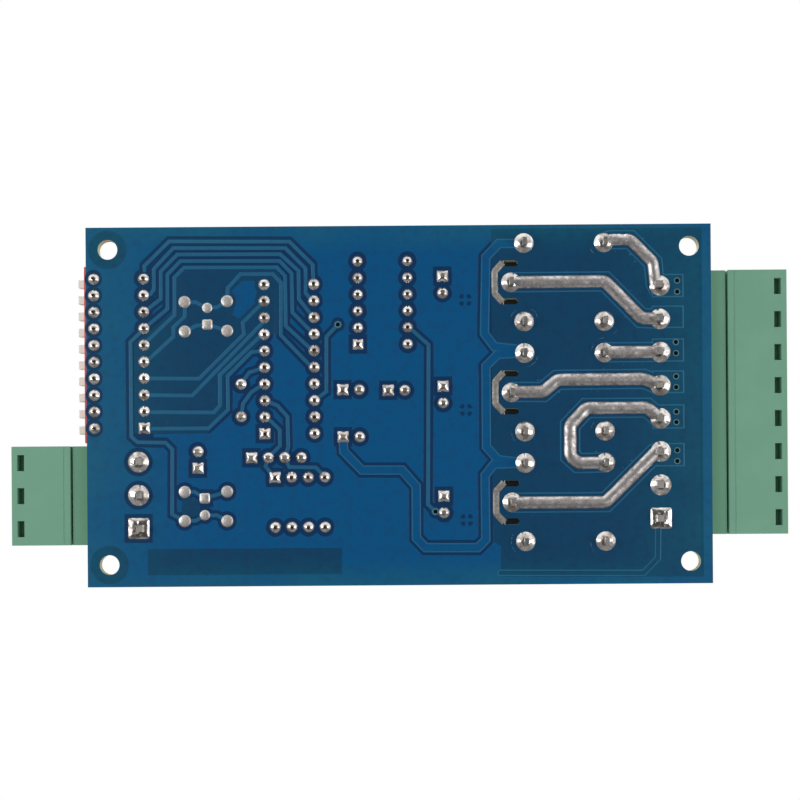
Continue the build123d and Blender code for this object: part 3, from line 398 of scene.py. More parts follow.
def plastic_finish(name, colour, rubbed, scale, rubbing, gloss, bump=0.08, shader=None):
    values = {"Colour": linear(*colour), "Rubbed Colour": linear(*rubbed), "Grain Scale": scale, "Rubbing": rubbing,
              "Gloss": gloss}
    return finish_from(name, MOULDING_GROUP, values, bump, 0.00002, shader or {})


MASK_ON_COPPER = mask_finish("mask over copper", (4, 81, 130), (22, 92, 124), 0.25)
MASK_ON_TRACK = mask_finish("mask over a track", (34, 94, 130), (42, 104, 132), 0.15)
# The lighter mask along the foot of copper edges is partly the real thin mask there and partly a painted highlight on
# the slope.
EDGE_MASK_AND_HIGHLIGHT = mask_finish("mask over a copper edge with painted highlight", (36, 96, 130), (44, 104, 128), 0.1)
MASK_ON_LAMINATE = mask_finish("mask over laminate", (14, 66, 100), (16, 82, 108), 0.35)
MASK_IN_GAP = mask_finish("mask in a gap", (10, 52, 92), (16, 62, 94), 0.15)
MASK_ON_RING = mask_finish("mask over a via ring", (84, 130, 140), (84, 130, 140), 0.1)
FLUX = plastic_finish("dried flux", (84, 126, 148), (132, 160, 172), 3000, 0.5, 0.4)
BOARD_EDGE = plastic_finish("glass laminate edge", (190, 188, 152), (158, 164, 124), 2600, 0.5, 0.5, 0.2)
LEGEND_WHITE = plastic_finish("white legend print", (226, 228, 226), (200, 205, 205), 3000, 0.3, 0.5)
BRIGHT_SOLDER = metal_finish("bright solder", (238, 234, 230), (160, 150, 144), 1100, 0.1, 0.32, 0.3)
MATT_SOLDER = metal_finish("matt solder", (224, 220, 216), (182, 176, 172), 2600, 0.38, 0.6, 0.3, 0.4)
DULL_SOLDER = metal_finish("dull solder", (226, 222, 220), (160, 152, 150), 1700, 0.28, 0.52, 0.5, 0.5)
GUARD_TIN = metal_finish("guard strip tin", (170, 166, 160), (142, 138, 134), 2000, 0.55, 0.75, 0.1)
# Dark metal for cut lead ends. It is also painted shade in the screw slots and capacitor scores, and a painted
# reflection on the sides of the lead stubs.
CUT_END_AND_SHADE = metal_finish("cut lead end and painted shade", (96, 84, 78), (34, 27, 26), 3000, 0.3, 0.6, 0.5, 0.7)
LEAD_TIN = metal_finish("tinned lead", (214, 210, 204), (176, 170, 164), 900, 0.25, 0.45)
SCREW_ZINC = metal_finish("zinc screw", (206, 204, 198), (160, 156, 148), 1800, 0.3, 0.5, 0.2)
CLAMP_NICKEL = metal_finish("clamp nickel", (196, 192, 184), (150, 146, 138), 1200, 0.25, 0.45)
CAN_STEEL = metal_finish("crystal can", (212, 212, 210), (180, 180, 178), 500, 0.22, 0.36)
GREEN = plastic_finish("terminal green", (106, 158, 132), (126, 172, 148), 4200, 0.25, 0.42, 0.1)
# The headers take the plugs' green made darker: painted shade on the header, which sits deeper than the plug.
SHADED_HEADER_GREEN = plastic_finish("header green with painted shade", (96, 150, 122), (116, 166, 140), 4200, 0.25, 0.42, 0.1)
RELAY_BLUE = plastic_finish("relay case blue", (28, 84, 164), (60, 110, 180), 3000, 0.15, 0.3, 0.05)
RELAY_BLACK = plastic_finish("relay base black", (34, 34, 36), (60, 60, 62), 4000, 0.3, 0.5)
SWITCH_RED = plastic_finish("switch red", (206, 74, 62), (220, 110, 96), 3000, 0.2, 0.36, 0.06)
LEVER_WHITE = plastic_finish("lever white", (240, 236, 226), (226, 218, 204), 3000, 0.3, 0.38, 0.05)
CHIP_BLACK = plastic_finish("chip epoxy", (40, 40, 42), (70, 70, 72), 6500, 0.35, 0.55, 0.35)
STRIP_BLACK = plastic_finish("pin strip black", (30, 30, 32), (58, 58, 60), 4500, 0.3, 0.45)
SLEEVE_BLACK = plastic_finish("capacitor sleeve", (30, 34, 44), (54, 58, 68), 1500, 0.2, 0.26, 0.04)
SLEEVE_STRIPE = plastic_finish("sleeve stripe", (196, 198, 200), (170, 172, 176), 1500, 0.2, 0.3, 0.04)
CAN_ALUMINIUM = metal_finish("capacitor can", (214, 214, 214), (186, 186, 188), 700, 0.28, 0.42)
CLEAR = {"Transmission Weight": 0.25}
RED_LENS = plastic_finish("red lamp", (214, 40, 34), (228, 74, 62), 900, 0.2, 0.1, 0.02, CLEAR)
GREEN_LENS = plastic_finish("green lamp", (70, 176, 84), (110, 196, 116), 900, 0.2, 0.1, 0.02, CLEAR)
RESISTOR_GLAZE = plastic_finish("resistor glaze", (34, 36, 40), (62, 64, 68), 5000, 0.2, 0.3)
CERAMIC_TAN = plastic_finish("fired ceramic", (176, 148, 118), (196, 170, 140), 6000, 0.3, 0.5, 0.2)
RELAY_PRINT = plastic_finish("relay print", (206, 212, 222), (170, 180, 196), 3000, 0.3, 0.45)
CHIP_DIMPLE = plastic_finish("chip dimple", (26, 26, 28), (46, 46, 48), 3000, 0.2, 0.35)
# Near-black painted shade for the inside of the via holes.
PAINTED_HOLE_SHADE = plastic_finish("painted shade in a hole", (2, 3, 5), (10, 14, 18), 3000, 0.2, 0.7,
                            shader={"Specular IOR Level": 0.1})

for finish, names in (
    (BOARD_EDGE, "circuit_board"), (MASK_ON_TRACK, "signal_tracks"), (DULL_SOLDER, "power_tracks"),
    (GUARD_TIN, "guard_strips"), (BRIGHT_SOLDER, "small_solder_joints power_solder_joints filled_pads"),
    (LEAD_TIN, "relay_pins input_header_pins output_header_pins switch_pins program_header_pins termination_pins"),
    (LEAD_TIN, "controller_legs transceiver_legs coupler_legs crystal_leads capacitor_leads led_leads"),
    (RELAY_BLUE, "relay_1_case relay_2_case relay_3_case"), (RELAY_BLACK, "relay_bases"),
    (SHADED_HEADER_GREEN, "input_header output_header"), (GREEN, "input_plug output_plug"),
    (CLAMP_NICKEL, "input_clamps output_clamps"), (SCREW_ZINC, "input_screws output_screws"),
    (SWITCH_RED, "switch_case"), (LEVER_WHITE, " ".join(f"lever_{n:02d}" for n in range(1, 11))),
    (CHIP_BLACK, "controller_body transceiver_body coupler_1 coupler_2 coupler_3"),
    (CHIP_BLACK, "driver_transistors flyback_diodes regulator"), (CAN_STEEL, "crystal_can"),
    (STRIP_BLACK, "program_header termination_header"), (SLEEVE_BLACK, "supply_capacitor filter_capacitor"),
    (RED_LENS, "relay_leds"), (GREEN_LENS, "status_led"), (RESISTOR_GLAZE, "chip_resistors"),
    (CERAMIC_TAN, "chip_capacitors"),
):
    for name in names.split():
        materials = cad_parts[name].data.materials
        materials.clear()
        materials.append(finish)


# ---------------------------------------------------------------- making meshes

def skin(bands, count, flipped=False, closed=True):
    """The faces between rows of points, each row with the same count, numbered row after row."""
    faces = []
    for k in range(bands):
        for i in range(count if closed else count - 1):
            a, b = k * count + i, k * count + (i + 1) % count
            faces.append([a, a + count, b + count, b] if flipped else [a, b, b + count, a + count])
    return faces


def lid(row, count, flipped=False):
    """One face over all the points of a row."""
    return [row * count + i for i in range(count)][::-1 if flipped else 1]


def linked(name, data):
    """A new object in the scene."""
    thing = bpy.data.objects.new(name, data)
    bpy.context.scene.collection.objects.link(thing)
    return thing


def placed(name, mesh, body, replaced=None):
    """Puts a mesh in the scene as a piece that rides on its body."""
    thing = linked(name, mesh)
    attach(thing, body)
    if replaced:
        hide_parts(replaced)


class Bench:
    """Gathers the faces of one piece, each with the number of its finish."""

    def __init__(self):
        self.points, self.faces, self.finishes = [], [], []

    def add(self, points, faces, finish=0):
        start = len(self.points)
        self.points += [Vector(p) for p in points]
        self.faces += [[start + i for i in face] for face in faces]
        self.finishes += [finish] * len(faces)

    def take(self, work, finish=0):
        """Adds a bmesh, and frees it."""
        work.verts.index_update()
        self.add([v.co.copy() for v in work.verts], [[v.index for v in f.verts] for f in work.faces], finish)
        work.free()

    def turned(self, profile, sides, place, finish=0, squareness=None):
        """A profile of (radius, height) pairs turned about Z, with a face at each end."""
        points = []
        for k, (radius, height) in enumerate(profile):
            for i in range(sides):
                angle = 2 * math.pi * (i + 0.5) / sides
                reach = radius
                if squareness:
                    near = max(abs(math.cos(angle)), abs(math.sin(angle)))
                    reach = radius * ((1 - squareness[k]) + squareness[k] / near)
                points.append(Vector((reach * math.cos(angle), reach * math.sin(angle), height)) + Vector(place))
        last = len(profile) - 1
        self.add(points, skin(last, sides) + [lid(0, sides, True), lid(last, sides)], finish)

    def piece(self, name, slot, materials, replaced=None, smooth_angle=40, body="board"):
        """Makes the piece, in metres. Edges sharper than the angle stay sharp, and at 0 all faces are flat."""
        mesh = bpy.data.meshes.new(name)
        mesh.from_pydata([p * MM for p in self.points], [], self.faces)
        for material in materials:
            mesh.materials.append(material)
        mesh.polygons.foreach_set("material_index", self.finishes)
        mesh.polygons.foreach_set("use_smooth", [smooth_angle > 0] * len(self.faces))
        mesh.validate()
        if smooth_angle:
            mesh.set_sharp_from_angle(angle=math.radians(smooth_angle))
        placed(name, mesh, body, replaced)


def circle(x, y, radius, sides=24):
    return [(x + radius * math.cos(2 * math.pi * i / sides), y + radius * math.sin(2 * math.pi * i / sides))
            for i in range(sides)]


def rings(x, y, profile, sides):
    """Level circles about one axis, for (radius, height) pairs."""
    return [(*p, z) for radius, z in profile for p in circle(x, y, radius, sides)]


def left_of(run):
    return Vector((-run.y, run.x))


def sides_of(points, half, limit, closed=False):
    """Each point of a line with the step from it to the line's left side, mitred at the corners."""
    path = [Vector(p) for p in points]
    pairs = []
    for i, p in enumerate(path):
        ahead = path[(i + 1) % len(path)] - p if i < len(path) - 1 or closed else p - path[i - 1]
        behind = p - path[i - 1] if i or closed else ahead
        a, b = left_of(behind.normalized()), left_of(ahead.normalized())
        middle = (a + b).normalized()
        pairs.append((p, middle * half / max(limit, middle.dot(a))))
    return pairs


def cap(centre, start, count=4):
    """The points between both corners of a track's round end."""
    spoke = start - centre
    turned = []
    for n in range(1, count):
        angle = -math.pi * n / count
        turned.append(centre + Vector((spoke.x * math.cos(angle) - spoke.y * math.sin(angle),
                                       spoke.x * math.sin(angle) + spoke.y * math.cos(angle))))
    return turned


def band(points, half):
    """The outline of a track along the points, with mitred corners and round ends."""
    pairs = sides_of(points, half, 0.5)
    left, right = [p + side for p, side in pairs], [p - side for p, side in pairs]
    outline = left + cap(pairs[-1][0], left[-1]) + right[::-1] + cap(pairs[0][0], right[0])
    return [(p.x, p.y) for p in outline[::-1]]


def slot_outline(x0, x1, y, half, steps=6):
    """A milled slot with a square left end and a round right one."""
    bend = [(x1 - half + half * math.cos(a), y + half * math.sin(a))
            for a in (math.pi * (n / steps - 0.5) for n in range(steps + 1))]
    return [(x0, y - half)] + bend + [(x0, y + half)]


def shrunk(corners, amount):
    """A rectangle with its sides moved in by an amount."""
    middle = sum((Vector(p) for p in corners), Vector((0, 0))) / 4
    return [(x - math.copysign(amount, x - middle.x), y - math.copysign(amount, y - middle.y)) for x, y in corners]


# ---------------------------------------------------------------- copper under the mask

COPPER, ISLAND, BARE, GAP_FOOT, GAP, TRACK_FOOT, TRACK, WIDE_TRACK, PLATE, HOLE = range(10)
RELIEF_FINISHES = [MASK_ON_COPPER, MASK_ON_TRACK, EDGE_MASK_AND_HIGHLIGHT, MASK_ON_LAMINATE, MASK_IN_GAP]
# Where areas overlap, the first of these decides the finish and whether the spot is raised
SHOWN = (
    (TRACK, MASK_ON_TRACK, True), (WIDE_TRACK, MASK_ON_COPPER, True), (PLATE, MASK_ON_LAMINATE, True),
    (TRACK_FOOT, EDGE_MASK_AND_HIGHLIGHT, False), (ISLAND, MASK_ON_COPPER, True), (BARE, MASK_ON_LAMINATE, False),
    (GAP_FOOT, MASK_IN_GAP, False),
)
MASK_LEVEL, COPPER_RISE, PRINT_LEVEL = 0.006, 0.045, 0.058
SLOPE, GAP_WIDTH = 0.1, 0.5


def along(route):
    return lambda reach: band(route, reach)


def pad_at(x, y, is_square=False, sides=24):
    if is_square:
        return lambda reach: rectangle(x - reach, y - reach, x + reach, y + reach)
    return lambda reach: circle(x, y, reach, sides)


def sunk(outline, reach):
    """A gap in the copper: the outline at the crest of its slope and at the foot."""
    return [(outline(reach + SLOPE / 2), GAP_FOOT), (outline(reach - SLOPE / 2), GAP)]


def raised(outline, reach, slope, kind):
    """Copper of a kind: the outline at the foot of its slope and at the crest."""
    return [(outline(reach + slope / 2), TRACK_FOOT), (outline(reach - slope / 2), kind)]


def board_holes():
    return ([(circle(x, y, 1.51, 36), HOLE) for x, y in CORNER_HOLES]
            + [(slot_outline(x0 - 0.02, x1, y, SLOT_WIDTH / 2), HOLE) for x0, x1, y in SLOTS])


def copper_face(name, areas, facing, replaced=None):
    """The mask over the areas of one side, which faces up or down: copper stands above the laminate."""
    points, outlines = [], []
    for outline, _ in areas:
        outlines.append([len(points) + i for i in range(len(outline))])
        points += [Vector(p) for p in outline]
    spots, _, parts, _, _, origins = geometry.delaunay_2d_cdt(points, [], outlines, 1, 1e-5)
    bench, high = Bench(), set()
    for part, origin in zip(parts, origins):
        held = {areas[n][1] for n in origin}
        if HOLE in held or not held:
            continue
        if GAP_FOOT in held:
            held.discard(ISLAND)
        _, finish, is_high = next((rule for rule in SHOWN if rule[0] in held), (COPPER, MASK_ON_COPPER, True))
        bench.faces.append(list(part)[::facing])
        bench.finishes.append(RELIEF_FINISHES.index(finish))
        high.update(part if is_high else ())
    start = TOP if facing > 0 else 0.0
    bench.points = [Vector((p.x, p.y, start + facing * (MASK_LEVEL + (COPPER_RISE if i in high else 0.0))))
                    for i, p in enumerate(spots)]
    bench.piece(name, "masked_copper", RELIEF_FINISHES, replaced, 0)


def solder_face():
    """All the copper of the solder side, under its blue mask."""
    areas = [(BOARD_OUTLINE, COPPER)] + [(zone, BARE) for zone in BARE_ZONES]
    areas += [(circle(x, y, HALO_RADIUS), BARE) for x, y in HALO_HOLES] + [(COPPER_ISLAND, ISLAND)]
    for route in LANES:
        areas += sunk(along(route), 0.23 + GAP_WIDTH) + raised(along(route), 0.23, SLOPE, TRACK)
    for route in SUPPLY_ROUTES:
        areas += sunk(along(route), 0.62 + GAP_WIDTH) + raised(along(route), 0.62, 0.2, WIDE_TRACK)
    areas += raised(along(RIM_ROUTE), 0.4, 0.16, PLATE)
    for route, width in TINNED_ROUTES:
        areas += raised(along(route), width / 2 + 0.45, 0.2, PLATE)
    for zone in TERMINAL_COPPER:
        # Each terminal pad gets an outline of the lighter edge mask: partly thin mask, partly a painted highlight along
        # its edge.
        areas += [(zone, TRACK_FOOT), (shrunk(zone, 0.2), PLATE)]
    for spot, _ in SMALL_JOINTS:
        # The narrower ring round the ground joints is painted shadow.
        areas += sunk(pad_at(*spot, spot in SQUARE_PADS), 1.32 if spot in GROUND_JOINTS else 1.43)
    for y in INPUT_PIN_YS:
        areas += sunk(pad_at(INPUT_PIN_X, y, (INPUT_PIN_X, y) in SQUARE_PADS, 32), 2.15)
    for fills, is_square in ((ROUND_FILLS, False), (SQUARE_FILLS, True)):
        for x, y, radius in fills:
            areas += sunk(pad_at(x, y, is_square), radius + GAP_WIDTH)
    for spot in TRACK_VIAS:
        areas += sunk(pad_at(*spot), 1.05) + raised(pad_at(*spot), 0.55, SLOPE, TRACK)
    for x, y in THERMAL_MARKS:
        for quarter in range(4):
            a = math.pi / 4 + quarter * math.pi / 2
            wedge = [(x + r * math.cos(a + t), y + r * math.sin(a + t))
                     for r, t in ((0.5, -0.45), (1.05, -0.42), (1.12, 0.0), (1.05, 0.42), (0.5, 0.45))]
            areas += [(wedge, GAP_FOOT), (wedge, GAP)]
        areas.append((circle(x, y, 0.17, 8), GAP))
    copper_face("solder_side_copper", areas + board_holes(), -1, "signal_tracks")


def component_face():
    """The copper of the component side, under its mask."""
    areas = [(BOARD_OUTLINE, COPPER), (rectangle(14.2, -27.0, 45.0, 24.6), BARE)]
    for route in TOP_TRACKS:
        areas += sunk(along(route), 0.62) + raised(along(route), 0.25, SLOPE, TRACK)
    for joints, reach in ((SMALL_JOINTS, 1.25), (LARGE_JOINTS, 2.0)):
        for spot, _ in joints:
            areas += sunk(pad_at(*spot, sides=20), reach)
    areas += [(circle(x, y, HALO_RADIUS), BARE) for x, y in CORNER_HOLES]
    copper_face("component_side_copper", areas + board_holes(), 1)


# ---------------------------------------------------------------- solder

def joint(bench, x, y, radius, height, lead, rng, is_square):
    """One soldered lead: a broad drop of solder with the cut end of the lead standing out of it."""
    lean = Vector((rng.uniform(-0.06, 0.06) * radius, rng.uniform(-0.06, 0.06) * radius))
    height *= rng.uniform(0.92, 1.0)
    width, depth, proud = lead
    is_large = radius > 1.2
    # A large square joint is a low plate with rounded sides
    crown, curve, fade = (0.42 * height, 4.0, 1) if is_square and is_large else (height, 1.9, 3)
    sides, steps = 40 if is_large else 24, 10
    points = []
    for k in range(steps + 1):
        t = k / steps
        rise = crown * (1 - (1 - t) ** curve)
        power = 2 + 16 * (1 - t) ** fade if is_square else 2.0
        for i in range(sides):
            angle = 2 * math.pi * i / sides
            r = (abs(math.cos(angle)) ** power + abs(math.sin(angle)) ** power) ** (-1 / power)
            r *= radius * (1 - 0.8 * t)
            spot = Vector((x + lean.x * t + r * math.cos(angle), y + lean.y * t + r * math.sin(angle), 0))
            lump = noise.noise(spot * 1.8) * 0.05 + noise.noise(spot * 5.0) * 0.014
            spot.z = -rise - lump * radius * math.sin(math.pi * min(1.0, t + 0.12)) - 0.01
            points.append(spot)
    bench.add(points, skin(steps, sides, True) + [lid(steps, sides, True)])
    turn = rng.uniform(-0.12, 0.12)
    # The stub and its sides take the dark cut-end finish. Only the cut end is really dark; on the sides the dark finish
    # is a painted reflection that darkens the joint's middle.
    stub = []
    for scale, z in ((1.25, 0.1 + height - crown), (1.0, -proud * 0.35), (0.92, -proud * 0.8), (0.7, -proud)):
        for n in range(8):
            angle = math.pi / 4 * (n + 0.5)
            u, v = math.cos(angle) * width * 0.54 * scale, math.sin(angle) * depth * 0.54 * scale
            slant = 0.12 * u if z < 0 else 0.0
            stub.append((x + lean.x + u * math.cos(turn) - v * math.sin(turn),
                         y + lean.y + u * math.sin(turn) + v * math.cos(turn), -height + z + slant))
    bench.add(stub, skin(3, 8, True), finish=1)
    bench.add(stub[24:], [lid(0, 8, True)], finish=1)


def solder_joints():
    rng = random.Random(7)
    for name, node, joints, height in (("small_joints", "small_solder_joints", SMALL_JOINTS, 0.46),
                                       ("large_joints", "power_solder_joints", LARGE_JOINTS, 0.6)):
        bench = Bench()
        for spot, kind in joints:
            radius, *lead = LEAD_KINDS[kind]
            joint(bench, *spot, radius, height, lead, rng, spot in SQUARE_PADS)
        bench.piece(name, "solder", [BRIGHT_SOLDER, CUT_END_AND_SHADE], node, 50)


def solder_fills():
    """The pads of the two empty sites, filled level with solder."""
    rng = random.Random(3)
    bench = Bench()
    for x, y, radius in ROUND_FILLS + SQUARE_FILLS:
        top = 0.27 * rng.uniform(0.8, 1.0)
        profile = [(radius * 0.08, -top * 1.02)]
        profile += [(radius * math.cos(a) ** 0.6, -top * math.sin(a))
                    for a in (math.pi / 12 * n for n in range(5, -1, -1))]
        squareness = [0.9 * r / radius for r, _ in profile] if (x, y, radius) in SQUARE_FILLS else None
        bench.turned(profile, 24, (x, y, 0), squareness=squareness)
    bench.piece("filled_pad_solder", "solder", [MATT_SOLDER], "filled_pads", 50)


def eased(points, step, cut):
    """The route with its corners cut by short arcs, divided into even steps."""
    path = [Vector(p) for p in points]
    curve = [path[0]]
    for before, here, after in zip(path, path[1:], path[2:]):
        short = min(cut, (here - before).length * 0.45, (after - here).length * 0.45)
        a = here + (before - here).normalized() * short
        b = here + (after - here).normalized() * short
        curve += [a * (1 - t) ** 2 + here * 2 * t * (1 - t) + b * t ** 2 for t in (0, 0.25, 0.5, 0.75, 1)]
    curve.append(path[-1])
    spots = [curve[0]]
    for a, b in zip(curve, curve[1:]):
        count = max(1, round((b - a).length / step))
        spots += [a.lerp(b, n / count) for n in range(1, count + 1)]
    return spots


def solder_run(bench, route, width, height, lumps, cut, seed):
    """A track built up with solder: rounded shoulders and an uneven back."""
    spots = eased(route, 0.3, cut)
    across = [-1, -0.97, -0.88, -0.7, -0.45, -0.15, 0.15, 0.45, 0.7, 0.88, 0.97, 1]
    points = []
    for k, p in enumerate(spots):
        side = left_of((spots[min(k + 1, len(spots) - 1)] - spots[max(k - 1, 0)]).normalized())
        for u in across:
            swell = 1 + 0.05 * noise.noise(Vector((p.x * 0.8, p.y * 0.8, seed + math.copysign(3, u))))
            spot = p + side * (u * width / 2 * swell)
            rise = height * max(0.0, 1 - abs(u) ** 2.1) ** 0.62
            wave = noise.noise(Vector((spot.x * 0.7, spot.y * 0.7, seed)))
            fine = noise.noise(Vector((spot.x * 2.6, spot.y * 2.6, seed + 9)))
            rise *= 1 + lumps * (0.6 * wave + 0.4 * fine)
            points.append((spot.x, spot.y, -rise - 0.02))
    bench.add(points, skin(len(spots) - 1, len(across), closed=False))


def tinned_tracks():
    tracks, strips = Bench(), Bench()
    for n, (route, width) in enumerate(TINNED_ROUTES):
        solder_run(tracks, route, width, 0.55, 0.18, 0.6, n * 5.0)
    tracks.piece("tinned_power_tracks", "tinned_copper", [DULL_SOLDER], "power_tracks", 55)
    for n, route in enumerate(GUARD_ROUTES):
        solder_run(strips, route, 1.0, 0.16, 0.15, 0.2, n * 3.0)
    strips.piece("tinned_guard_strips", "tinned_copper", [GUARD_TIN], "guard_strips", 55)


def via_rings():
    bench = Bench()
    for x, y in TERMINAL_VIAS + TRACK_VIAS:
        bench.add(rings(x, y, [(0.33, -0.062), (0.36, -0.09), (0.42, -0.085), (0.48, -0.05)], 20), skin(3, 20, True))
        # A black disc down each via hole: painted shade for the inside of the hole.
        bench.add(rings(x, y, [(0.34, -0.058)], 20), [lid(0, 20, True)], finish=1)
    bench.piece("via_rings", "masked_copper", [MASK_ON_RING, PAINTED_HOLE_SHADE], smooth_angle=50)


def flux_traces():
    """Dried flux, left as short broken arcs near the relay joints and as flecks beside the built-up tracks."""
    rng = random.Random(21)
    bench = Bench()

    def patch(corners):
        bench.add([(*p, -PRINT_LEVEL) for p in corners], [[0, 1, 2, 3]])

    for (x, y), kind in LARGE_JOINTS:
        for _ in range(rng.choice((0, 1, 1, 2)) if kind == "relay pin" else 0):
            around, reach = rng.uniform(0, 2 * math.pi), rng.uniform(2.0, 2.4)
            for _ in range(rng.randrange(3, 8)):
                spread = rng.uniform(0.04, 0.12)
                near, far = reach - rng.uniform(0.02, 0.04), reach + rng.uniform(0.02, 0.05)
                end = around + spread
                patch([(x + r * math.cos(a), y + r * math.sin(a))
                       for r, a in ((near, around), (far, around), (far, end), (near, end))])
                around += spread + rng.choice((0.0, 0.02, 0.1))
                reach += rng.uniform(-0.05, 0.05)
    for _ in range(34):
        route, width = rng.choice(TINNED_ROUTES)
        start = rng.randrange(len(route) - 1)
        a, b = Vector(route[start]), Vector(route[start + 1])
        place = a.lerp(b, rng.random())
        side = left_of((b - a).normalized()) * rng.choice((-1, 1))
        x, y = place + side * (width / 2 + rng.uniform(0.5, 1.1))
        size = rng.uniform(0.04, 0.2)
        patch([(x - size, y - 0.03), (x - 0.02, y + size / 4), (x + size, y + 0.02), (x + 0.01, y - size / 4)])
    bench.piece("flux_traces", "board_blue", [FLUX], smooth_angle=0)


# ---------------------------------------------------------------- pieces of the component side

def box_mm(node):
    low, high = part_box(node)
    return low / MM, high / MM


def middle_of(low, high):
    return (low.x + high.x) / 2, (low.y + high.y) / 2


def mesh_of(node):
    """A node's solids as a bmesh, with their doubled points joined."""
    work = bmesh.new()
    work.from_mesh(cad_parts[node].data)
    bmesh.ops.remove_doubles(work, verts=work.verts, dist=1e-7)
    return work


def solids_of(node):
    """The lowest and highest corners of each separate solid of a node, in millimetres."""
    work = mesh_of(node)
    left, boxes = set(work.verts), []
    while left:
        queue, group = [left.pop()], []
        while queue:
            vert = queue.pop()
            group.append(vert.co / MM)
            for edge in vert.link_edges:
                other = edge.other_vert(vert)
                if other in left:
                    left.remove(other)
                    queue.append(other)
        boxes.append(tuple(Vector([pick(p[i] for p in group) for i in range(3)]) for pick in (min, max)))
    work.free()
    return sorted(boxes, key=lambda b: (round(b[0].x, 2), round(b[0].y, 2)))


def corner_normals(work, size):
    """A normal for each corner of each face, led by the largest faces around it, so that flat faces look flat."""
    normals = []
    for face in work.faces:
        for vert in face.verts:
            near = [f for f in vert.link_faces if f.normal.angle(face.normal, 0.0) < math.radians(60)]
            normals.append(sum((f.normal * f[size] for f in near), Vector((0, 0, 0))).normalized())
    return normals


def softened(node, name, body, material, radius):
    """The node's own shape with its sharp edges rounded over, as a moulding's are."""
    work = mesh_of(node)
    bmesh.ops.dissolve_limit(work, angle_limit=math.radians(1), verts=work.verts, edges=work.edges)
    sharp = [e for e in work.edges if len(e.link_faces) == 2 and e.calc_face_angle() > math.radians(28)]
    bmesh.ops.bevel(work, geom=sharp, offset=radius * MM, offset_type="OFFSET", segments=2, profile=0.5,
                    affect="EDGES", clamp_overlap=True)
    size = work.faces.layers.float.new("size")
    for face in work.faces:
        face[size] = face.calc_area()
    bmesh.ops.triangulate(work, faces=[f for f in work.faces if len(f.verts) > 4])
    work.normal_update()
    normals = corner_normals(work, size)
    work.faces.layers.float.remove(size)
    mesh = bpy.data.meshes.new(name)
    work.to_mesh(mesh)
    work.free()
    mesh.materials.append(material)
    mesh.polygons.foreach_set("use_smooth", [True] * len(mesh.polygons))
    mesh.normals_split_custom_set(normals)
    placed(name, mesh, body, node)


def cube(low, high):
    work = bmesh.new()
    bmesh.ops.create_cube(work, size=1.0)
    low, high = Vector(low), Vector(high)
    for vert in work.verts:
        vert.co = (low + high) / 2 + Vector([vert.co[i] * (high[i] - low[i]) for i in range(3)])
    return work


def block(bench, low, high, edge, finish=0):
    """A box with its edges rounded over."""
    work = cube(low, high)
    bmesh.ops.bevel(work, geom=work.edges[:], offset=edge, segments=2, profile=0.5, affect="EDGES")
    bench.take(work, finish)


def ribbon(bench, points, width, height, closed=False, finish=0):
    """A flat printed line along the points."""
    spots = [(*q, height) for p, side in sides_of(points, width / 2, 0.4, closed) for q in (p + side, p - side)]
    count = len(spots)
    faces = [[i, i + 1, (i + 3) % count, (i + 2) % count] for i in range(0, count if closed else count - 2, 2)]
    bench.add(spots, faces, finish)


def component_pads():
    """Tinned rings where the leads enter the board."""
    bench = Bench()
    rises = ((0.86, 0.052), (0.8, 0.075), (0.62, 0.1), (0.4, 0.16), (0.3, 0.17))
    profile = [(reach, TOP + rise) for reach, rise in rises]
    for spot, _ in SMALL_JOINTS:
        for pair in zip(profile, profile[1:]):
            bench.add(rings(*spot, pair, 20), skin(1, 20))
    bench.piece("component_side_pads", "solder", [BRIGHT_SOLDER], smooth_angle=50)


def legend():
    """White outlines printed round the parts, and marks for their first pins and plus sides."""
    bench = Bench()
    line, height = 0.16, TOP + PRINT_LEVEL
    limit = BOARD_LENGTH / 2 - 0.15
    for node, margin in LEGEND_MARGINS.items():
        low, high = box_mm(node)
        corners = rectangle(low.x - margin, low.y - margin, high.x + margin, high.y + margin)
        ribbon(bench, [(max(-limit, min(limit, x)), y) for x, y in corners], line, height, True)
    for node in ("supply_capacitor", "filter_capacitor", "status_led"):
        low, high = box_mm(node)
        ribbon(bench, circle(*middle_of(low, high), (high.x - low.x) / 2 + 0.35, 40), line, height, True)
    for low, high in solids_of("relay_leds"):
        ribbon(bench, circle(*middle_of(low, high), 2.2, 32), line, height, True)
    for low, high in solids_of("chip_resistors") + solids_of("chip_capacitors") + solids_of("flyback_diodes"):
        ribbon(bench, rectangle(low.x - 0.3, low.y - 0.3, high.x + 0.3, high.y + 0.3), line, height, True)
    for x, y in FIRST_PIN_DOTS:
        bench.turned([(0.3, 0.0), (0.28, 0.004)], 16, (x, y, height))
    for x, y in PLUS_MARKS:
        ribbon(bench, [(x - 0.6, y), (x + 0.6, y)], 0.22, height)
        ribbon(bench, [(x, y - 0.6), (x, y + 0.6)], 0.22, height + 0.001)
    bench.piece("legend_print", "board_blue", [LEGEND_WHITE], smooth_angle=0)


def contact_drawing():
    """The printed lines of a relay's coil and contacts round its middle: points, closed or not, width and lift."""
    lines = [(rectangle(-4.4, -1.6, -2.2, 1.6), True, 0.2, 0.0), ([(-4.4, 1.6), (-2.2, -1.6)], False, 0.2, 0.001),
             ([(-0.6, 0), (1.6, 0), (4.6, -1.1)], False, 0.2, 0.0), (circle(-1.0, 0, 0.4, 16), True, 0.18, 0.0)]
    for s in (-1, 1):
        lines.append(([(-3.3, s * 1.6), (-3.3, s * 4.6)], False, 0.2, 0.0))
        lines.append(([(5.6, s * 4.6), (5.6, s * 2.0), (4.2, s * 1.3)], False, 0.2, 0.0))
        lines += [(circle(x, s * 5.0, 0.4, 16), True, 0.18, 0.0) for x in (-3.3, 5.6)]
    return lines


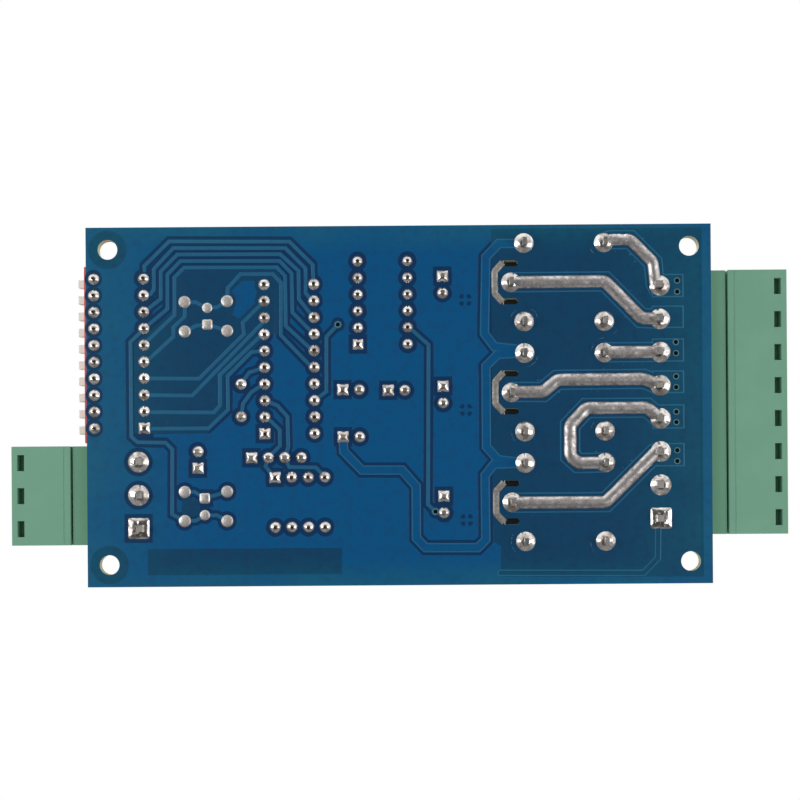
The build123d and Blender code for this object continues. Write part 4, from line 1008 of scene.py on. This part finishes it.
def relay_cases():
    """Sealed relay cases: rounded edges, a sunk top panel, a vent pip and the contact drawing printed on top."""
    for number, y in enumerate(RELAY_YS, 1):
        low, high = box_mm(f"relay_{number}_case")
        work = cube(low, high)
        bottom = [f for f in work.faces if f.normal.z < -0.9]
        upright = [e for e in work.edges if abs((e.verts[0].co - e.verts[1].co).z) > 1]
        crown = [e for e in work.edges if all(v.co.z > high.z - 0.01 for v in e.verts)]
        bmesh.ops.delete(work, geom=bottom, context="FACES_ONLY")
        bmesh.ops.bevel(work, geom=upright + crown, offset=0.7, segments=4, profile=0.5, affect="EDGES")
        for thickness, depth in ((0.55, 0.0), (0.12, -0.12)):
            top = [f for f in work.faces if f.normal.z > 0.99 and f.calc_area() > 60]
            bmesh.ops.inset_region(work, faces=top, thickness=thickness, depth=depth)
        bench = Bench()
        bench.take(work)
        pip = (low.x + 2.4, low.y + 2.4, high.z - 0.14)
        bench.turned([(0.85, 0.0), (0.85, 0.1), (0.7, 0.16), (0.45, 0.16), (0.4, 0.05)], 24, pip)
        x, panel = (low.x + high.x) / 2, high.z - 0.112
        for points, closed, width, lift in contact_drawing():
            ribbon(bench, [(x + u, y + v) for u, v in points], width, panel + lift, closed, 1)
        bench.piece(f"relay_{number}_shell", "relay_blue", [RELAY_BLUE, RELAY_PRINT], f"relay_{number}_case", 35)


def chip_shape(bench, node, along_y):
    """A moulded package: drafted sides that meet at the lead line, an end notch and a first-pin dimple."""
    low, high = box_mm(node)
    x, y = middle_of(low, high)
    middle, draft = (low.z + high.z) / 2, 0.16
    spots = [(*p, z) for inset, z in ((draft * 1.3, low.z), (0, middle - 0.06), (0, middle + 0.06),
                                      (draft, high.z - 0.12), (draft + 0.12, high.z))
             for p in rectangle(low.x + inset, low.y + inset, high.x - inset, high.y - inset)]
    bench.add(spots, skin(4, 4) + [lid(0, 4, True), lid(4, 4)])
    notch = (x, high.y - 0.8) if along_y else (low.x + 0.3, y)
    dot = (low.x + 1.25, high.y - 1.5) if along_y else (low.x + 1.5, high.y - 1.25)
    bench.turned([(0.78, 0.0), (0.7, 0.012), (0.62, 0.012)], 24, (*notch, high.z - 0.004), finish=1)
    bench.turned([(0.42, 0.0), (0.36, 0.008)], 20, (*dot, high.z - 0.004), finish=1)


def package_leg(bench, x, y, outward, lead_z):
    """A dual-in-line leg: broad shoulder out of the package, bent down, narrow through the board."""
    out = Vector((*outward, 0))
    across = Vector((-out.y, out.x, 0))
    start = Vector((x, y, 0)) - out * 0.72
    path = [(0.0, lead_z, 1.45), (0.42, lead_z, 1.45), (0.64, lead_z - 0.1, 1.42), (0.72, lead_z - 0.34, 1.4),
            (0.72, TOP + 0.75, 1.4), (0.72, TOP + 0.35, 0.5), (0.72, TOP - 1.4, 0.5)]
    spots = []
    for n, (reach, z, width) in enumerate(path):
        ahead, behind = path[min(n + 1, len(path) - 1)], path[max(n - 1, 0)]
        thick = left_of(Vector((ahead[0] - behind[0], ahead[1] - behind[1])).normalized()) * 0.13
        for s, t in ((-1, -1), (1, -1), (1, 1), (-1, 1)):
            place = start + out * (reach + thick.x * t) + across * (s * width / 2)
            spots.append((place.x, place.y, z + thick.y * t))
    bench.add(spots, skin(len(path) - 1, 4, True))


def chips():
    """The controller, transceiver and couplers with their legs."""
    for node in ("controller_body", "transceiver_body", "coupler_1", "coupler_2", "coupler_3"):
        bench = Bench()
        chip_shape(bench, node, node != "transceiver_body")
        name = node.removesuffix("_body") + "_moulding"
        bench.piece(name, "chip_black", [CHIP_BLACK, CHIP_DIMPLE], node, 30)
    for name, body, legs in (
        ("controller", "controller_body", {(-1, 0): CONTROLLER_LEFT, (1, 0): CONTROLLER_RIGHT}),
        ("coupler", "coupler_1", {(-1, 0): COUPLER_LEFT, (1, 0): COUPLER_RIGHT}),
        ("transceiver", "transceiver_body", {(0, -1): TRANSCEIVER_TOP, (0, 1): TRANSCEIVER_BOTTOM}),
    ):
        low, high = box_mm(body)
        bench = Bench()
        for outward, spots in legs.items():
            for spot in spots:
                package_leg(bench, *spot, outward, (low.z + high.z) / 2)
        bench.piece(f"{name}_bent_legs", "lead_metal", [LEAD_TIN], f"{name}_legs", 30)


def crystal():
    """A low oval steel can, drawn with a rounded top, on its welded flange."""
    low, high = box_mm("crystal_can")
    x, y = middle_of(low, high)
    half, sides = (high.x - low.x) / 2, 32
    straight = (high.y - low.y) / 2 - half
    spots = []
    for inset, z in ((0, low.z), (0, low.z + 0.35), (0.06, low.z + 0.42), (0.4, low.z + 0.46), (0.42, high.z - 0.55),
                     (0.5, high.z - 0.22), (0.72, high.z - 0.05), (1.0, high.z)):
        for i in range(sides):
            angle = 2 * math.pi * (i + 0.5) / sides
            stretch = math.copysign(straight, math.sin(angle))
            spots.append((x + (half - inset) * math.cos(angle), y + stretch + (half - inset) * math.sin(angle), z))
    bench = Bench()
    bench.add(spots, skin(7, sides) + [lid(0, sides, True), lid(7, sides)])
    bench.piece("crystal_oval_can", "can_steel", [CAN_STEEL], "crystal_can", 40)


def electrolytic(node, name):
    """A sleeved can: crimped foot, rolled top edge, bare top with its scores drawn as dark lines of painted shade, and
    a pale stripe on the minus side.
    """
    low, high = box_mm(node)
    x, y = middle_of(low, high)
    radius, sides = (high.x - low.x) / 2, 48
    profile = [(radius * 0.82, low.z), (radius - 0.12, low.z + 0.12), (radius, low.z + 0.5),
               (radius, low.z + 1.1), (radius - 0.28, low.z + 1.35), (radius - 0.28, low.z + 1.55),
               (radius, low.z + 1.85), (radius, high.z - 0.55), (radius - 0.1, high.z - 0.2),
               (radius - 0.4, high.z), (radius - 0.75, high.z - 0.02), (radius - 0.85, high.z - 0.12)]
    last = len(profile) - 1
    bench = Bench()
    bench.add(rings(x, y, profile, sides), skin(last, sides) + [lid(last, sides)])
    for n in range(len(bench.faces)):
        k, i = divmod(n, sides)
        bench.finishes[n] = 2 if k >= last - 1 else int(4 <= i < 12 and 5 < k < 9)
    # The scores are flat dark lines on the top: painted shade in place of grooves.
    for turn in (0.5, 2.594, 4.689):
        reach = radius * 0.62
        ribbon(bench, [(x, y), (x + math.cos(turn) * reach, y + math.sin(turn) * reach)], 0.16, high.z - 0.112,
               finish=3)
    bench.piece(name, "capacitor_sleeve", [SLEEVE_BLACK, SLEEVE_STRIPE, CAN_ALUMINIUM, CUT_END_AND_SHADE], node)


def lamp_lenses(node, name, material, slot):
    """Lamps with a flange flattened on one side, a round dome and a metal cup inside."""
    bench = Bench()
    for low, high in solids_of(node):
        x, y = middle_of(low, high)
        flange, barrel = 1.9, 1.5
        profile = [(flange, low.z), (flange, low.z + 0.85), (flange - 0.12, low.z + 1.0), (barrel, low.z + 1.02),
                   (barrel, high.z - barrel)]
        profile += [(barrel * math.cos(a), high.z - barrel + barrel * math.sin(a))
                    for a in (math.pi / 2 * n / 7 for n in range(1, 7))]
        profile.append((0.04, high.z))
        start = len(bench.points)
        bench.turned(profile, 32, (x, y, 0))
        for p in bench.points[start:]:
            p.y = min(p.y, y + 1.62)
        cup = [(*p, low.z + z) for u, v, z in ((0.5, 0.35, 1.4), (0.7, 0.5, 2.9))
               for p in rectangle(x - u, y - v, x + u, y + v)]
        bench.add(cup, skin(1, 4) + [lid(1, 4), lid(0, 4, True)], finish=1)
    bench.piece(name, slot, [material, LEAD_TIN], node)


def resistor(bench, low, high):
    block(bench, low + Vector((0.3, 0.02, 0.03)), high - Vector((0.3, 0.02, 0.01)), 0.05)
    for x0, x1 in ((low.x, low.x + 0.38), (high.x - 0.38, high.x)):
        block(bench, (x0, low.y, low.z), (x1, high.y, high.z), 0.08, 1)


def ceramic(bench, low, high):
    block(bench, low + Vector((0.02, 0.35, 0.02)), high - Vector((0.02, 0.35, 0.02)), 0.08)
    for y0, y1 in ((low.y, low.y + 0.42), (high.y - 0.42, high.y)):
        block(bench, (low.x, y0, low.z), (high.x, y1, high.z), 0.12, 1)


def diode(bench, low, high):
    block(bench, low + Vector((0, 0.25, 0.1)), high - Vector((0, 0.25, 0)), 0.12)
    block(bench, low + Vector((-0.002, 0.55, 0.9)), (high.x + 0.002, low.y + 0.95, high.z + 0.003), 0.1, 2)
    for y0, y1 in ((low.y, low.y + 0.6), (high.y - 0.6, high.y)):
        block(bench, (low.x + 0.55, y0, low.z), (high.x - 0.55, y1, low.z + 0.55), 0.06, 1)


def lead_blocks(bench, low, high, leads, edge):
    """Flat leads under a part: each from one x to another about the middle, and from one y to another."""
    middle = (low.x + high.x) / 2
    for x0, x1, y0, y1 in leads:
        block(bench, (middle + x0, y0, low.z), (middle + x1, y1, low.z + 0.3), edge, 1)


def transistor(bench, low, high):
    block(bench, low + Vector((0, 0.2, 0.1)), high - Vector((0, 0.2, 0)), 0.1)
    near = (low.y, low.y + 0.5)
    lead_blocks(bench, low, high, [(-1.15, -0.75, *near), (0.75, 1.15, *near), (-0.2, 0.2, high.y - 0.5, high.y)], 0.05)


def regulator(bench, low, high):
    block(bench, low + Vector((0, 0.35, 0.08)), high - Vector((0, 0.35, 0)), 0.15)
    pins = [(x - 0.36, x + 0.36, high.y - 0.6, high.y) for x in (-2.3, 0.0, 2.3)]
    lead_blocks(bench, low, high, pins + [(-1.5, 1.5, low.y, low.y + 0.6)], 0.06)


def surface_parts():
    """Small surface-mounted parts with their metal ends and leads."""
    for node, name, slot, materials, maker in (
        ("chip_resistors", "resistor_chips", "resistor_black", [RESISTOR_GLAZE, LEAD_TIN], resistor),
        ("chip_capacitors", "ceramic_chips", "ceramic_tan", [CERAMIC_TAN, LEAD_TIN], ceramic),
        ("flyback_diodes", "diode_mouldings", "chip_black", [CHIP_BLACK, LEAD_TIN, SLEEVE_STRIPE], diode),
        ("driver_transistors", "driver_mouldings", "chip_black", [CHIP_BLACK, LEAD_TIN], transistor),
        ("regulator", "regulator_moulding", "chip_black", [CHIP_BLACK, LEAD_TIN], regulator),
    ):
        bench = Bench()
        for low, high in solids_of(node):
            maker(bench, low, high)
        bench.piece(name, slot, materials, node)


def clamping_screws(node, name, body):
    """Cheese-head screws with a cut slot."""
    bench = Bench()
    for low, high in solids_of(node):
        (x, y), top = middle_of(low, high), high.z
        radius, half, deep = (high.x - low.x) / 2 - 0.02, 0.3, 0.8
        inner = radius - 0.15
        edge = math.asin(half / radius)
        for side in (0, math.pi):
            arc = [edge + (math.pi - 2 * edge) * n / 16 + side for n in range(17)]
            rim = [(x + radius * math.cos(a), y + radius * math.sin(a)) for a in arc]
            crown = [(x + inner * math.cos(a), y + math.copysign(max(half, abs(inner * math.sin(a))), math.sin(a)))
                     for a in arc]
            spots = [(*p, z) for ring, z in ((rim, low.z), (rim, top - 0.15), (crown, top)) for p in ring]
            bench.add(spots, skin(2, 17, closed=False) + [lid(2, 17)])
            (x0, y0), (x1, y1) = crown[0], crown[-1]
            bench.add([(x0, y0, top), (x1, y1, top), (x1, y1, top - deep), (x0, y0, top - deep)], [lid(0, 4)])
        reach = math.sqrt(radius ** 2 - half ** 2)
        # The floor of the slot is painted dark: painted shade at the bottom of the slot.
        floor_of_slot = [(*p, top - deep) for p in rectangle(x - reach, y - half, x + reach, y + half)]
        bench.add(floor_of_slot, [lid(0, 4)], finish=1)
    bench.piece(name, "screw_metal", [SCREW_ZINC, CUT_END_AND_SHADE], node, 35, body)


def numerals():
    """ON and the numbers one to ten, printed on the switch."""
    low, high = box_mm("switch_case")
    for n in range(11):
        curve = bpy.data.curves.new(f"switch mark {n}", "FONT")
        curve.body = str(n) if n else "ON"
        curve.size = 1.9 * MM if n else 2.1 * MM
        curve.align_x, curve.align_y = "CENTER", "CENTER"
        place = Vector((low.x + (2.6 if n else 6.2), SWITCH_LEFT[max(n, 1) - 1][1], high.z + 0.01)) * MM
        holder = linked(f"switch_mark_{n}", curve)
        bpy.context.view_layer.update()
        flat = bpy.data.meshes.new_from_object(holder.evaluated_get(bpy.context.evaluated_depsgraph_get()))
        bpy.data.objects.remove(holder)
        flat.transform(Matrix.Translation(place) @ Matrix.Rotation(math.pi / 2, 4, "Z"))
        flat.materials.clear()
        flat.materials.append(LEGEND_WHITE)
        placed(f"switch_mark_{n}", flat, "board")


for make_piece in (solder_face, solder_joints, solder_fills, flux_traces, tinned_tracks, via_rings, component_face,
                   component_pads, legend, relay_cases, chips, crystal):
    make_piece()
electrolytic("supply_capacitor", "supply_capacitor_can")
electrolytic("filter_capacitor", "filter_capacitor_can")
lamp_lenses("relay_leds", "relay_lamps", RED_LENS, "led_red")
lamp_lenses("status_led", "status_lamp", GREEN_LENS, "led_green")
surface_parts()
clamping_screws("input_screws", "input_screw_heads", "input_plug")
clamping_screws("output_screws", "output_screw_heads", "output_plug")
numerals()
softened("input_plug", "input_plug_moulding", "input_plug", GREEN, 0.14)
softened("output_plug", "output_plug_moulding", "output_plug", GREEN, 0.14)
softened("input_header", "input_header_moulding", "board", SHADED_HEADER_GREEN, 0.12)
softened("output_header", "output_header_moulding", "board", SHADED_HEADER_GREEN, 0.12)
softened("switch_case", "switch_moulding", "board", SWITCH_RED, 0.12)
for n in range(1, 11):
    softened(f"lever_{n:02d}", f"lever_{n:02d}_moulding", f"lever_{n:02d}", LEVER_WHITE, 0.12)


# ---------------------------------------------------------------- floor, light and camera

def floor():
    """A pale floor under the pins. It can be seen from above only."""
    low, reach = cad_low.z - 0.00002, 12.0
    mesh = bpy.data.meshes.new("floor")
    mesh.from_pydata([(*p, low) for p in rectangle(-reach, -reach, reach, reach)], [], [(0, 1, 2, 3)])
    material = bpy.data.materials.new("pale floor")
    material.use_nodes = True
    tree = material.node_tree
    surface = tree.nodes["Principled BSDF"]
    glow = times(tree, make_node(tree, "LightPath").outputs["Is Camera Ray"], 0.7)
    for label, value in {"Base Color": (0.62, 0.62, 0.62, 1), "Roughness": 0.9, "Specular IOR Level": 0.1,
                         "Emission Color": (1, 1, 1, 1), "Emission Strength": glow}.items():
        feed(tree, surface.inputs[label], value)
    is_below = make_node(tree, "NewGeometry").outputs["Backfacing"]
    clear = make_node(tree, "BsdfTransparent").outputs[0]
    mix = make_node(tree, "MixShader", {0: is_below, 1: surface.outputs[0], 2: clear})
    feed(tree, tree.nodes["Material Output"].inputs["Surface"], mix.outputs[0])
    mesh.materials.append(material)
    thing = linked("floor", mesh)
    thing.visible_shadow = thing.visible_diffuse = thing.visible_glossy = thing.visible_transmission = False


def soft_lamp(name, place, target, size, power):
    data = bpy.data.lights.new(name, "AREA")
    data.shape = "RECTANGLE"
    data.size, data.size_y = size
    data.energy = power
    lamp = linked(name, data)
    lamp.location = place
    lamp.rotation_euler = (Vector(target) - Vector(place)).to_track_quat("-Z", "Y").to_euler()
    lamp.visible_camera = False


def surroundings():
    """White where the camera sees it, grey as light, and for reflections a room that is lighter on one side."""
    world = bpy.data.worlds.new("studio")
    bpy.context.scene.world = world
    world.use_nodes = True
    tree = world.node_tree
    path = make_node(tree, "LightPath").outputs
    seen = calc(tree, "MAXIMUM", path["Is Camera Ray"], path["Is Transmission Ray"])
    parts = make_node(tree, "SeparateXYZ", {0: make_node(tree, "TexCoord").outputs["Generated"]}).outputs
    room = times(tree, ramp(tree, parts["Z"], [(-0.98, -0.55), (0.1, 0.9)]),
                 ramp(tree, parts["Y"], [(-0.55, 0.55), (1.2, 0.34)]))
    lit = mixed(tree, path["Is Glossy Ray"], (0.5, 0.5, 0.5, 1), room)
    feed(tree, tree.nodes["Background"].inputs["Color"], mixed(tree, seen, lit, (1, 1, 1, 1)))
    tree.nodes["Background"].inputs["Strength"].default_value = 1.0


def camera():
    """Straight on to the solder face, as the board lies on its parts in the picture."""
    pixels_per_mm, picture_width, distance = 6.54, 800, 0.210
    pixel = MM / pixels_per_mm
    data = bpy.data.cameras.new("camera")
    data.sensor_width = 36.0
    data.lens = data.sensor_width * distance / (picture_width * pixel)
    data.shift_y = 0.125
    data.clip_start, data.clip_end = 0.01, 20
    thing = linked("camera", data)
    thing.location = (0.1 * pixel, (100 - 5.45) * pixel, -distance)
    thing.rotation_euler = (math.pi, 0, math.radians(0.4))
    bpy.context.scene.camera = thing


floor()
soft_lamp("left softbox below", (-0.26, -0.02, -0.22), (0, 0, 0), (0.16, 0.3), 0.42)
soft_lamp("right softbox below", (0.26, 0.02, -0.22), (0, 0, 0), (0.16, 0.3), 0.36)
soft_lamp("key softbox above", (-0.2, -0.22, 0.34), (0, 0, 0), (0.25, 0.25), 0.8)
soft_lamp("fill softbox above", (0.3, -0.1, 0.22), (0, 0, 0), (0.25, 0.25), 0.4)
soft_lamp("front softbox", (0.05, -0.38, 0.1), (0, 0, 0.005), (0.3, 0.16), 0.75)
soft_lamp("back softbox", (-0.05, 0.38, 0.12), (0, 0, 0.005), (0.3, 0.16), 0.6)
surroundings()
camera()
bpy.context.scene.view_settings.view_transform = "Standard"
